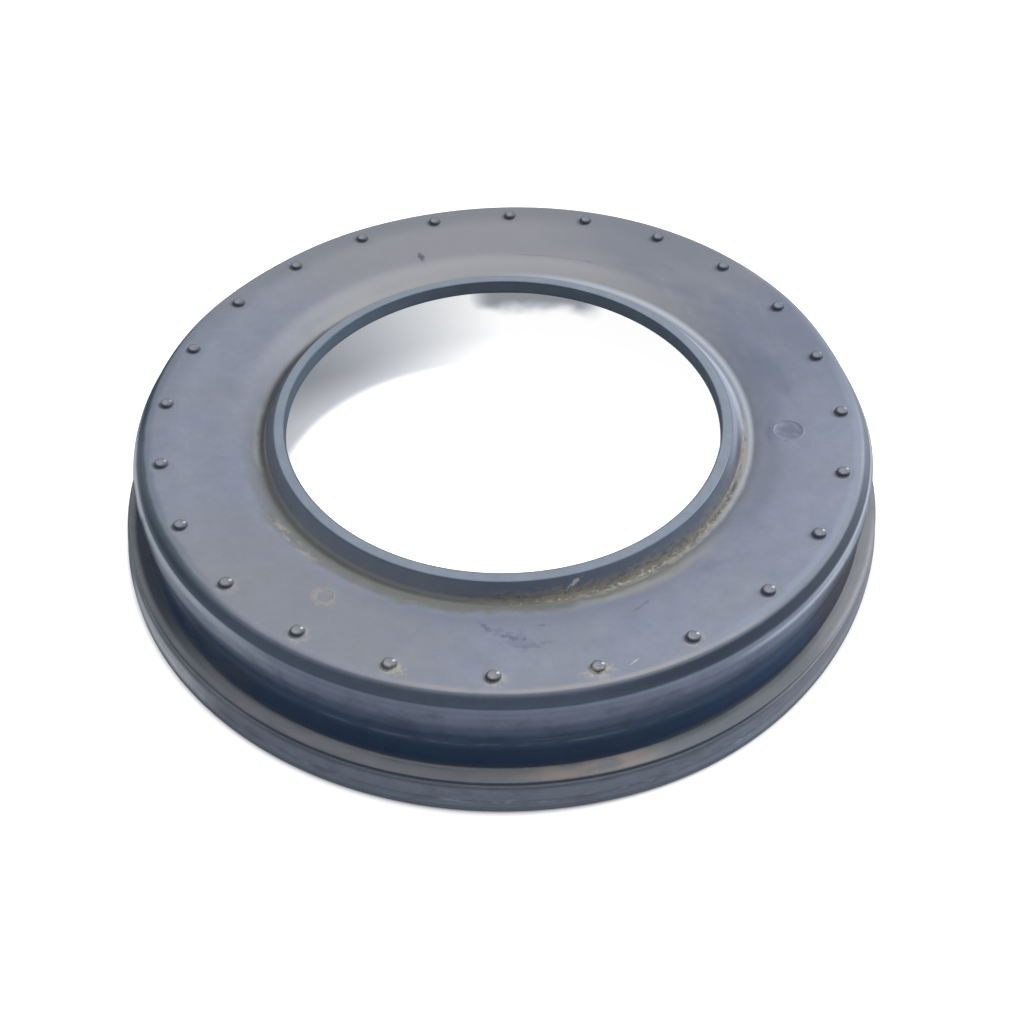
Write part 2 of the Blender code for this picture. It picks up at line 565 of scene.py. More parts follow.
@dataclass
class PinMark:
    """A plain round moulding mark: a fine raised ring round a slightly sunken disc."""

    radius: float
    bearing: float
    diameter: float = 7.6
    ridge: float = 0.16
    sink: float = 0.14

    def set_in(self, web: Web) -> None:
        """Press the mark into the web.

        Args:
            web: Upper side of the moulding's web.
        """
        edge = self.diameter / 2
        profile = [
            (0.4, -self.sink), (edge * 0.45, -self.sink), (edge - 0.75, -self.sink),
            (edge - 0.55, -0.02), (edge - 0.4, self.ridge * 0.9), (edge - 0.25, self.ridge),
            (edge - 0.1, self.ridge * 0.8), (edge + 0.05, 0.02), (edge + 0.25, 0.0),
        ]
        Relief(self.radius, self.bearing, profile, self.diameter + 3.0, 40).set_in(web)


@dataclass
class Lean:
    """How far the soft moulding has settled out of round, near one bearing."""

    bearing: float
    spread: float
    outward: float
    upward: float
    low: float
    high: float

    def shares(self, bearings: np.ndarray, heights: np.ndarray) -> np.ndarray:
        """Return how much of the lean acts at each of many points.

        Args:
            bearings: Angles round the axis in degrees.
            heights: Heights above the floor in millimetres.

        Returns:
            Shares from 0 to 1.
        """
        away = np.abs((bearings - self.bearing + 180.0) % 360.0 - 180.0)
        round_share = np.where(away < self.spread, 0.5 + 0.5 * np.cos(np.pi * away / self.spread), 0.0)
        rise = np.clip((heights - self.low) / (self.high - self.low), 0.0, 1.0)
        return round_share * rise * rise * (3 - 2 * rise)


@dataclass
class Diaphragm:
    """The whole moulding: its turned section, its nubs, its moulding marks and how it has settled."""

    section: Section = field(default_factory=Section)
    nubs: NubRing = field(default_factory=NubRing)
    marks: Sequence[PinMark] = (PinMark(90.6, 355.3, 10.0), PinMark(93.1, 238.6, 6.4, 0.12, 0.1))
    leans: Sequence[Lean] = (
        Lean(62.0, 58.0, 1.1, 1.1, 20.0, 34.0),
        Lean(14.0, 20.0, -0.8, 0.0, 20.0, 34.0),
        Lean(139.0, 22.0, -0.5, -0.2, 20.0, 34.0),
        Lean(334.0, 44.0, -2.1, 0.0, 15.0, 9.0),
    )
    held_inside: float = 82.0
    free_outside: float = 112.0
    facets_per_nub: int = 16
    sharp_turn: float = 38.0
    merge: float = 0.0005

    def build(self) -> bpy.types.Object:
        """Make the moulding.

        Returns:
            The object, at the origin, with its station attribute.
        """
        maker = bmesh.new()
        station = maker.verts.layers.float.new("station")
        self.section.draw(maker, station)
        sector = 2 * math.pi / self.nubs.count
        bmesh.ops.rotate(maker, verts=maker.verts, matrix=Matrix.Rotation(-sector / 2, 3, "Z"))
        bmesh.ops.spin(
            maker,
            geom=list(maker.verts) + list(maker.edges),
            cent=(0.0, 0.0, 0.0),
            axis=(0.0, 0.0, 1.0),
            angle=sector,
            steps=self.facets_per_nub,
        )
        self.nubs.raise_on(Web(maker, station, self.section))
        bmesh.ops.spin(
            maker,
            geom=list(maker.verts) + list(maker.edges) + list(maker.faces),
            cent=(0.0, 0.0, 0.0),
            axis=(0.0, 0.0, 1.0),
            angle=2 * math.pi - sector,
            steps=self.nubs.count - 1,
            use_duplicate=True,
        )
        bmesh.ops.remove_doubles(maker, verts=list(maker.verts), dist=self.merge * MM)
        web = Web(maker, station, self.section)
        for mark in self.marks:
            mark.set_in(web)
        bmesh.ops.recalc_face_normals(maker, faces=list(maker.faces))
        mesh = bpy.data.meshes.new("diaphragm_moulding")
        maker.to_mesh(mesh)
        maker.free()
        self.settle(mesh)
        mesh.shade_smooth()
        mesh.set_sharp_from_angle(angle=math.radians(self.sharp_turn))
        moulding = bpy.data.objects.new("diaphragm_moulding", mesh)
        bpy.context.collection.objects.link(moulding)
        return moulding

    def settle(self, mesh: bpy.types.Mesh) -> None:
        """Move the points of the outer part as the soft rubber has settled.

        The place that each point was moulded at is kept as an attribute, which the finish follows.

        Args:
            mesh: Mesh of the whole moulding.
        """
        places = np.empty(3 * len(mesh.vertices))
        mesh.vertices.foreach_get("co", places)
        mesh.attributes.new("moulded_at", "FLOAT_VECTOR", "POINT").data.foreach_set("vector", places)
        places = places.reshape(-1, 3)
        bearings = np.degrees(np.arctan2(places[:, 1], places[:, 0]))
        radii = np.linalg.norm(places[:, :2], axis=1)
        free = np.clip((radii / MM - self.held_inside) / (self.free_outside - self.held_inside), 0.0, 1.0)
        free = free * free * (3 - 2 * free)
        outward, upward = np.zeros(len(places)), np.zeros(len(places))
        for lean in self.leans:
            share = lean.shares(bearings, places[:, 2] / MM) * free
            outward += lean.outward * share
            upward += lean.upward * share
        away = places[:, :2] / radii[:, None]
        places[:, :2] += away * outward[:, None] * MM
        places[:, 2] += upward * MM
        mesh.vertices.foreach_set("co", places.ravel())
        mesh.update()


class Spot(NamedTuple):
    """A place on the section: a named corner, and how far past it in millimetres."""

    corner: Place
    past: float = 0.0


class Zone(NamedTuple):
    """Tone of the rubber over one stretch of the section. It blends into the next zone's.

    On some faces it is set darker as painted shade.
    """

    start: Spot
    end: Spot
    tone: str


@dataclass(frozen=True)
class Film:
    """A thin layer on one band of the section: dust, bloom, a scuffed line, painted shade or a painted
    highlight.

    Patches give the size of its clouds round the ring and across it, and cover the noise levels at
    which they start and are full. Without patches the film is even. Spread is how far it reaches
    either way from its bearing. Its edges wander across the section by up to the given distance.
    """

    tone: str
    amount: float
    start: Spot
    end: Spot
    fade: float
    patches: tuple[float, float] | None = None
    cover: tuple[float, float] = (0.2, 0.5)
    bearing: float = 0.0
    spread: float = 0.0
    roughness: float = 0.8
    wander: float = 0.0


@dataclass(frozen=True)
class Blot:
    """A small mark at one place: a print of dust, a smear, a scratch or a nick."""

    tone: str
    amount: float
    radius: float
    bearing: float
    height: float
    along: float
    across: float
    turn: float = 0.0
    depth: float = 2.6
    grain: float = 1.6
    ragged: float = 0.5
    roughness: float = 0.6
    hollow: bool = False


@dataclass(frozen=True)
class Halo:
    """A soft ring round every nub, of dirt, polish, painted shade or a painted glint, or a soft spot
    where its radius is 0.

    The radius is given in nub radii. Reach is the distance from it in millimetres where it ends.
    Beside is how far from the nub's axis its middle lies, along X and Y.
    """

    tone: str
    amount: float
    radius: float
    reach: float
    beside: tuple[float, float] = (0.0, 0.0)
    patches: tuple[float, float] | None = None
    cover: tuple[float, float] = (0.2, 0.5)
    bearing: float = 0.0
    spread: float = 0.0
    roughness: float = 0.6


class WeatheringAndPaintedLight:
    """Shader tree of the rubber, laid up from the bare moulding outwards.

    Painted shade and painted highlights are among its layers.

    Every share that its methods return is a socket, from 0 where a layer is absent to 1 where it
    is full.
    """

    full_part: float = 0.25
    stray_size: float = 14.0
    nub_margin: float = 6.0

    def __init__(self, tree: bpy.types.NodeTree, section: Section, bare: float) -> None:
        """Read the coordinates that every layer uses.

        Args:
            tree: Empty node tree of the material.
            section: Section that the layers are placed along.
            bare: Roughness of the bare rubber.
        """
        self.tree = tree
        self.section = section
        self.stations = section.stations()
        self.place, self.along = (
            add_node(
                tree, "ShaderNodeAttribute", {"attribute_type": "GEOMETRY", "attribute_name": name},
                output=output,
            )
            for name, output in (("moulded_at", "Vector"), ("station", "Fac"))
        )
        flat = add_node(
            tree, "ShaderNodeVectorMath", {"operation": "MULTIPLY"}, {0: self.place, 1: (1.0, 1.0, 0.0)}
        )
        self.heading = add_node(tree, "ShaderNodeVectorMath", {"operation": "NORMALIZE"}, {0: flat})
        self.colour: bpy.types.NodeSocket | None = None
        self.roughness: bpy.types.NodeSocket | float = bare

    def station(self, spot: Spot) -> float:
        """Return the distance along the section of a named spot."""
        return self.stations[spot.corner] + spot.past

    def lay_ground(self, zones: Sequence[Sequence[Zone]]) -> None:
        """Colour the ground by zones, each run of them ending sharply where the next begins.

        The ground is bare rubber, set darker as painted shade on some faces.

        Args:
            zones: Runs of zones in order along the section.
        """
        for run in zones:
            first, last = self.station(run[0].start), self.station(run[-1].end)
            share = add_node(
                self.tree, "ShaderNodeMapRange",
                inputs={"Value": self.along, "From Min": first, "From Max": last},
            )
            ground = add_node(self.tree, "ShaderNodeValToRGB", inputs={"Fac": share})
            elements = ground.node.color_ramp.elements
            elements[0].color, elements[1].color = linear(run[0].tone), linear(run[-1].tone)
            stops = [(spot, zone.tone) for zone in run for spot in (zone.start, zone.end)]
            for spot, tone in stops[1:-1]:
                elements.new((self.station(spot) - first) / (last - first)).color = linear(tone)
            if self.colour is None:
                self.colour = ground
                continue
            past = add_node(
                self.tree, "ShaderNodeMath", {"operation": "GREATER_THAN"}, {0: self.along, 1: first}
            )
            self.colour = add_node(
                self.tree, "ShaderNodeMix", {"data_type": "RGBA"},
                {0: past, 6: self.colour, 7: ground}, 2,
            )

    def mottle(self, size: float, darkest: float) -> None:
        """Vary the tone evenly about what it is.

        Args:
            size: Size of the spots in millimetres.
            darkest: Share of the tone that is left in the darkest ones.
        """
        noise = add_node(
            self.tree, "ShaderNodeTexNoise",
            inputs={"Vector": self.place, "Scale": 1 / (size * MM), "Detail": 3.0, "Roughness": 0.55},
        )
        shade = add_node(
            self.tree, "ShaderNodeMapRange",
            inputs={
                "Value": noise, "From Min": 0.3, "From Max": 0.7,
                "To Min": darkest, "To Max": 2.0 - darkest,
            },
        )
        self.colour = add_node(
            self.tree, "ShaderNodeVectorMath", {"operation": "SCALE"}, {0: self.colour, "Scale": shade}
        )

    def towards(self, bearing: float, spread: float) -> bpy.types.NodeSocket:
        """Make a share that is full at one bearing and fades out to either side.

        Args:
            bearing: Bearing where it is full.
            spread: Angle at which it has gone.

        Returns:
            The share.
        """
        return add_node(
            self.tree, "ShaderNodeMapRange", {"interpolation_type": "SMOOTHSTEP"},
            {
                "Value": facing(self.tree, self.heading, bearing),
                "From Min": math.cos(math.radians(spread)),
                "From Max": math.cos(math.radians(spread * self.full_part)),
            },
        )

    def near(
        self, value: bpy.types.NodeSocket, middle: float, gone: float, full: float
    ) -> bpy.types.NodeSocket:
        """Make a share that is full where a value is close to a middle one.

        Args:
            value: Value that decides.
            middle: Middle value.
            gone: Gap from it at which the share has gone.
            full: Gap from it within which the share is full.

        Returns:
            The share.
        """
        offset = add_node(self.tree, "ShaderNodeMath", {"operation": "SUBTRACT"}, {0: value, 1: middle})
        gap = add_node(self.tree, "ShaderNodeMath", {"operation": "ABSOLUTE"}, {0: offset})
        return add_node(
            self.tree, "ShaderNodeMapRange", {"interpolation_type": "SMOOTHSTEP"},
            {"Value": gap, "From Min": gone, "From Max": full},
        )

    def between(self, start: Spot, end: Spot, fade: float, wander: float = 0.0) -> bpy.types.NodeSocket:
        """Make a share that is full on a band of the section.

        Args:
            start: Where the band starts.
            end: Where it ends.
            fade: Width of its soft edges in millimetres, half of it outside the band.
            wander: How far its edges wander to either side in millimetres.

        Returns:
            The share.
        """
        low, high = self.station(start), self.station(end)
        along = self.along
        if wander:
            noise = add_node(
                self.tree, "ShaderNodeTexNoise",
                inputs={
                    "Vector": self.place, "Scale": 1 / (self.stray_size * MM),
                    "Detail": 4.0, "Roughness": 0.6,
                },
            )
            strayed = add_node(
                self.tree, "ShaderNodeMapRange",
                inputs={
                    "Value": noise, "From Min": 0.25, "From Max": 0.75,
                    "To Min": -wander, "To Max": wander,
                },
            )
            along = add_node(self.tree, "ShaderNodeMath", {"operation": "ADD"}, {0: along, 1: strayed})
        half = (high - low) / 2
        return self.near(along, (low + high) / 2, half + fade / 2, half - fade / 2)

    def clouds(
        self, round_size: float, cross_size: float, cover: tuple[float, float]
    ) -> bpy.types.NodeSocket:
        """Make a patchy share whose clouds may be drawn out round the ring.

        Args:
            round_size: Size of the clouds round the ring in millimetres.
            cross_size: Their size across it.
            cover: Noise levels at which they start and are full.

        Returns:
            The share.
        """
        wrapped = add_node(
            self.tree, "ShaderNodeVectorMath", {"operation": "SCALE"},
            {0: self.heading, "Scale": self.section.nub_circle / round_size},
        )
        rows = add_node(
            self.tree, "ShaderNodeMath", {"operation": "DIVIDE"}, {0: self.along, 1: cross_size}
        )
        across = add_node(self.tree, "ShaderNodeCombineXYZ", inputs={"Z": rows})
        spot = add_node(
            self.tree, "ShaderNodeVectorMath", {"operation": "ADD"}, {0: wrapped, 1: across}
        )
        noise = add_node(
            self.tree, "ShaderNodeTexNoise",
            inputs={"Vector": spot, "Scale": 1.0, "Detail": 4.0, "Roughness": 0.6},
        )
        return add_node(
            self.tree, "ShaderNodeMapRange", {"interpolation_type": "SMOOTHSTEP"},
            {"Value": noise, "From Min": cover[0], "From Max": cover[1]},
        )

    def lay(self, tone: str, roughness: float, share: bpy.types.NodeSocket) -> None:
        """Lay a layer over what is there.

        Args:
            tone: Colour of the layer.
            roughness: Roughness of the layer.
            share: How much of it covers.
        """
        self.colour = add_node(
            self.tree, "ShaderNodeMix", {"data_type": "RGBA"},
            {0: share, 6: self.colour, 7: linear(tone)}, 2,
        )
        self.roughness = add_node(
            self.tree, "ShaderNodeMix", {"data_type": "FLOAT"},
            {0: share, 2: self.roughness, 3: roughness},
        )

    def lay_on(self, layer: Film | Halo, *shares: bpy.types.NodeSocket) -> None:
        """Lay a film or a halo where all its shares agree.

        Args:
            layer: What to lay. Its patches and its bearing, if it has them, thin it out.
            shares: Where it lies.
        """
        if layer.patches:
            shares += (self.clouds(*layer.patches, layer.cover),)
        if layer.spread:
            shares += (self.towards(layer.bearing, layer.spread),)
        total = layer.amount
        for share in shares:
            total = add_node(
                self.tree, "ShaderNodeMath", {"operation": "MULTIPLY"}, {0: total, 1: share}
            )
        self.lay(layer.tone, layer.roughness, total)

    def lay_film(self, film: Film) -> None:
        """Lay a film on its band of the section."""
        self.lay_on(film, self.between(film.start, film.end, film.fade, film.wander))

    def lay_halos(self, halos: Sequence[Halo], nubs: NubRing) -> None:
        """Lay halos round the nubs, and nowhere but on the outer part of the web.

        Args:
            halos: Halos in the order that they are laid in.
            nubs: Ring of nubs that they surround.
        """
        web = self.between(Spot(Place.NUB_INNER, -self.nub_margin), Spot(Place.RIM), 2.0)
        gaps: dict[tuple[float, float], bpy.types.NodeSocket] = {}
        for halo in halos:
            if halo.beside not in gaps:
                gaps[halo.beside] = self.nub_gap(nubs.count, halo.beside)
            middle = halo.radius * nubs.diameter / 2
            ring = self.near(gaps[halo.beside], middle, halo.reach, halo.reach * 0.35)
            self.lay_on(halo, ring, web)

    def lay_blot(self, blot: Blot) -> None:
        """Lay a local mark, whose outline its own noise makes ragged.

        Args:
            blot: What to lay.
        """
        around = math.radians(blot.bearing)
        middle = Vector((blot.radius * math.cos(around), blot.radius * math.sin(around), blot.height))
        inside = add_node(
            self.tree, "ShaderNodeMapping", {"vector_type": "TEXTURE"},
            {
                "Vector": self.place,
                "Location": middle * MM,
                "Rotation": (0.0, 0.0, around + math.radians(blot.turn)),
                "Scale": Vector((blot.across, blot.along, blot.depth)) / 2 * MM,
            },
        )
        away = add_node(
            self.tree, "ShaderNodeVectorMath", {"operation": "LENGTH"}, {0: inside}, "Value"
        )
        noise = add_node(
            self.tree, "ShaderNodeTexNoise",
            inputs={
                "Vector": self.place, "Scale": 1 / (blot.grain * MM), "Detail": 3.0, "Roughness": 0.6,
            },
        )
        eaten = add_node(
            self.tree, "ShaderNodeMapRange",
            inputs={
                "Value": noise, "From Min": 0.3, "From Max": 0.7,
                "To Min": -blot.ragged, "To Max": blot.ragged,
            },
        )
        edge = add_node(self.tree, "ShaderNodeMath", {"operation": "ADD"}, {0: away, 1: eaten})
        gone, full = 1.0, 0.3
        if blot.hollow:
            inward = add_node(self.tree, "ShaderNodeMath", {"operation": "SUBTRACT"}, {0: edge, 1: 0.8})
            edge = add_node(self.tree, "ShaderNodeMath", {"operation": "ABSOLUTE"}, {0: inward})
            gone, full = 0.24, 0.06
        share = add_node(
            self.tree, "ShaderNodeMapRange", {"interpolation_type": "SMOOTHSTEP"},
            {"Value": edge, "From Min": gone, "From Max": full, "To Min": 0.0, "To Max": blot.amount},
        )
        self.lay(blot.tone, blot.roughness, share)

    def nub_gap(self, count: int, beside: tuple[float, float]) -> bpy.types.NodeSocket:
        """Measure the distance from the nearest nub's axis, or from a place beside it.

        Args:
            count: Number of nubs in the ring.
            beside: How far from the axis, along X and Y, that place lies.

        Returns:
            Distance in millimetres.
        """
        ring, half = self.section.nub_circle, math.pi / count
        shifted = add_node(
            self.tree, "ShaderNodeVectorMath", {"operation": "SUBTRACT"},
            {0: self.place, 1: Vector((*beside, 0.0)) * MM},
        )
        parts = add_node(self.tree, "ShaderNodeSeparateXYZ", inputs={"Vector": shifted}).node.outputs
        flat = add_node(self.tree, "ShaderNodeCombineXYZ", inputs={"X": parts["X"], "Y": parts["Y"]})
        reach = add_node(self.tree, "ShaderNodeVectorMath", {"operation": "LENGTH"}, {0: flat}, "Value")
        bearing = add_node(
            self.tree, "ShaderNodeMath", {"operation": "ARCTAN2"}, {0: parts["Y"], 1: parts["X"]}
        )
        folded = add_node(
            self.tree, "ShaderNodeMath", {"operation": "WRAP"}, {0: bearing, 1: half, 2: -half}
        )
        aside = add_node(self.tree, "ShaderNodeMath", {"operation": "MULTIPLY"}, {0: folded, 1: ring})
        outside = add_node(
            self.tree, "ShaderNodeMath", {"operation": "MULTIPLY_ADD"}, {0: reach, 1: 1 / MM, 2: -ring}
        )
        spot = add_node(self.tree, "ShaderNodeCombineXYZ", inputs={"X": aside, "Y": outside})
        return add_node(self.tree, "ShaderNodeVectorMath", {"operation": "LENGTH"}, {0: spot}, "Value")


def zones_of_top() -> tuple[Zone, ...]:
    """Return the tones from the lip out to the crease.

    They are bare rubber, set darker as painted shade on the lip's outer side and on the collar.
    """
    return (
        Zone(Spot(Place.BORE_TOP), Spot(Place.BORE_TOP, 0.2), "#4a5463"),
        Zone(Spot(Place.BORE_TOP, 0.6), Spot(Place.LIP_EDGE, -0.4), "#78828f"),
        Zone(Spot(Place.LIP_EDGE, 0.3), Spot(Place.LIP_ROOT, -3.0), "#4d5666"),
        Zone(Spot(Place.LIP_ROOT, -1.0), Spot(Place.LIP_ROOT, 0.8), "#45474a"),
        Zone(Spot(Place.LIP_ROOT, 2.0), Spot(Place.KNEE, -5.0), "#6f7480"),
        Zone(Spot(Place.KNEE), Spot(Place.KNEE, 8.0), "#767c8c"),
        Zone(Spot(Place.NUB_INNER), Spot(Place.RIM, -0.8), "#7b8190"),
        Zone(Spot(Place.RIM, 1.6), Spot(Place.CREASE, -0.8), "#4a5566"),
        Zone(Spot(Place.CREASE, -0.1), Spot(Place.CREASE), "#435061"),
    )


def zones_of_wall() -> tuple[Zone, ...]:
    """Return the tones from the crease round by the bead to the bore.

    The navy that darkens down the wall to its root, and the dark step, are bare rubber and painted shade.
    """
    return (
        Zone(Spot(Place.CREASE), Spot(Place.CREASE, 0.1), "#40495c"),
        Zone(Spot(Place.CREASE, 0.5), Spot(Place.ROLL), "#6a7485"),
        Zone(Spot(Place.ROLL, 1.0), Spot(Place.ROLL, 4.0), "#768299"),
        Zone(Spot(Place.FLANK, -1.0), Spot(Place.FLANK, 1.5), "#586882"),
        Zone(Spot(Place.WAIST, -2.0), Spot(Place.WAIST, 1.0), "#3d5471"),
        Zone(Spot(Place.WAIST, 3.5), Spot(Place.WALL_ROOT, -1.5), "#243b5a"),
        Zone(Spot(Place.WALL_ROOT, -0.2), Spot(Place.WALL_ROOT, 0.6), "#2a323d"),
        Zone(Spot(Place.WALL_ROOT, 1.8), Spot(Place.LEDGE_EDGE, -0.9), "#6c6f75"),
        Zone(Spot(Place.LEDGE_EDGE, 0.1), Spot(Place.SHELF, 0.1), "#4a5360"),
        Zone(Spot(Place.SHELF, 0.3), Spot(Place.STEP, -0.2), "#3d4551"),
        Zone(Spot(Place.STEP, 1.2), Spot(Place.BEAD_FOOT, -0.8), "#7c8697"),
        Zone(Spot(Place.BEAD_FOOT), Spot(Place.BEAD_FOOT, 0.6), "#676f7e"),
        Zone(Spot(Place.FOOT, 0.5), Spot(Place.SOLE, -0.3), "#6c7786"),
        Zone(Spot(Place.HEEL, -2.0), Spot(Place.BORE_FOOT, -3.0), "#37414e"),
        Zone(Spot(Place.BORE_FOOT, 1.0), Spot(Place.BORE_FOOT, 4.2), "#5a6878"),
        Zone(Spot(Place.BORE_FOOT, 4.7), Spot(Place.BORE_FOOT, 4.8), "#4a5463"),
    )


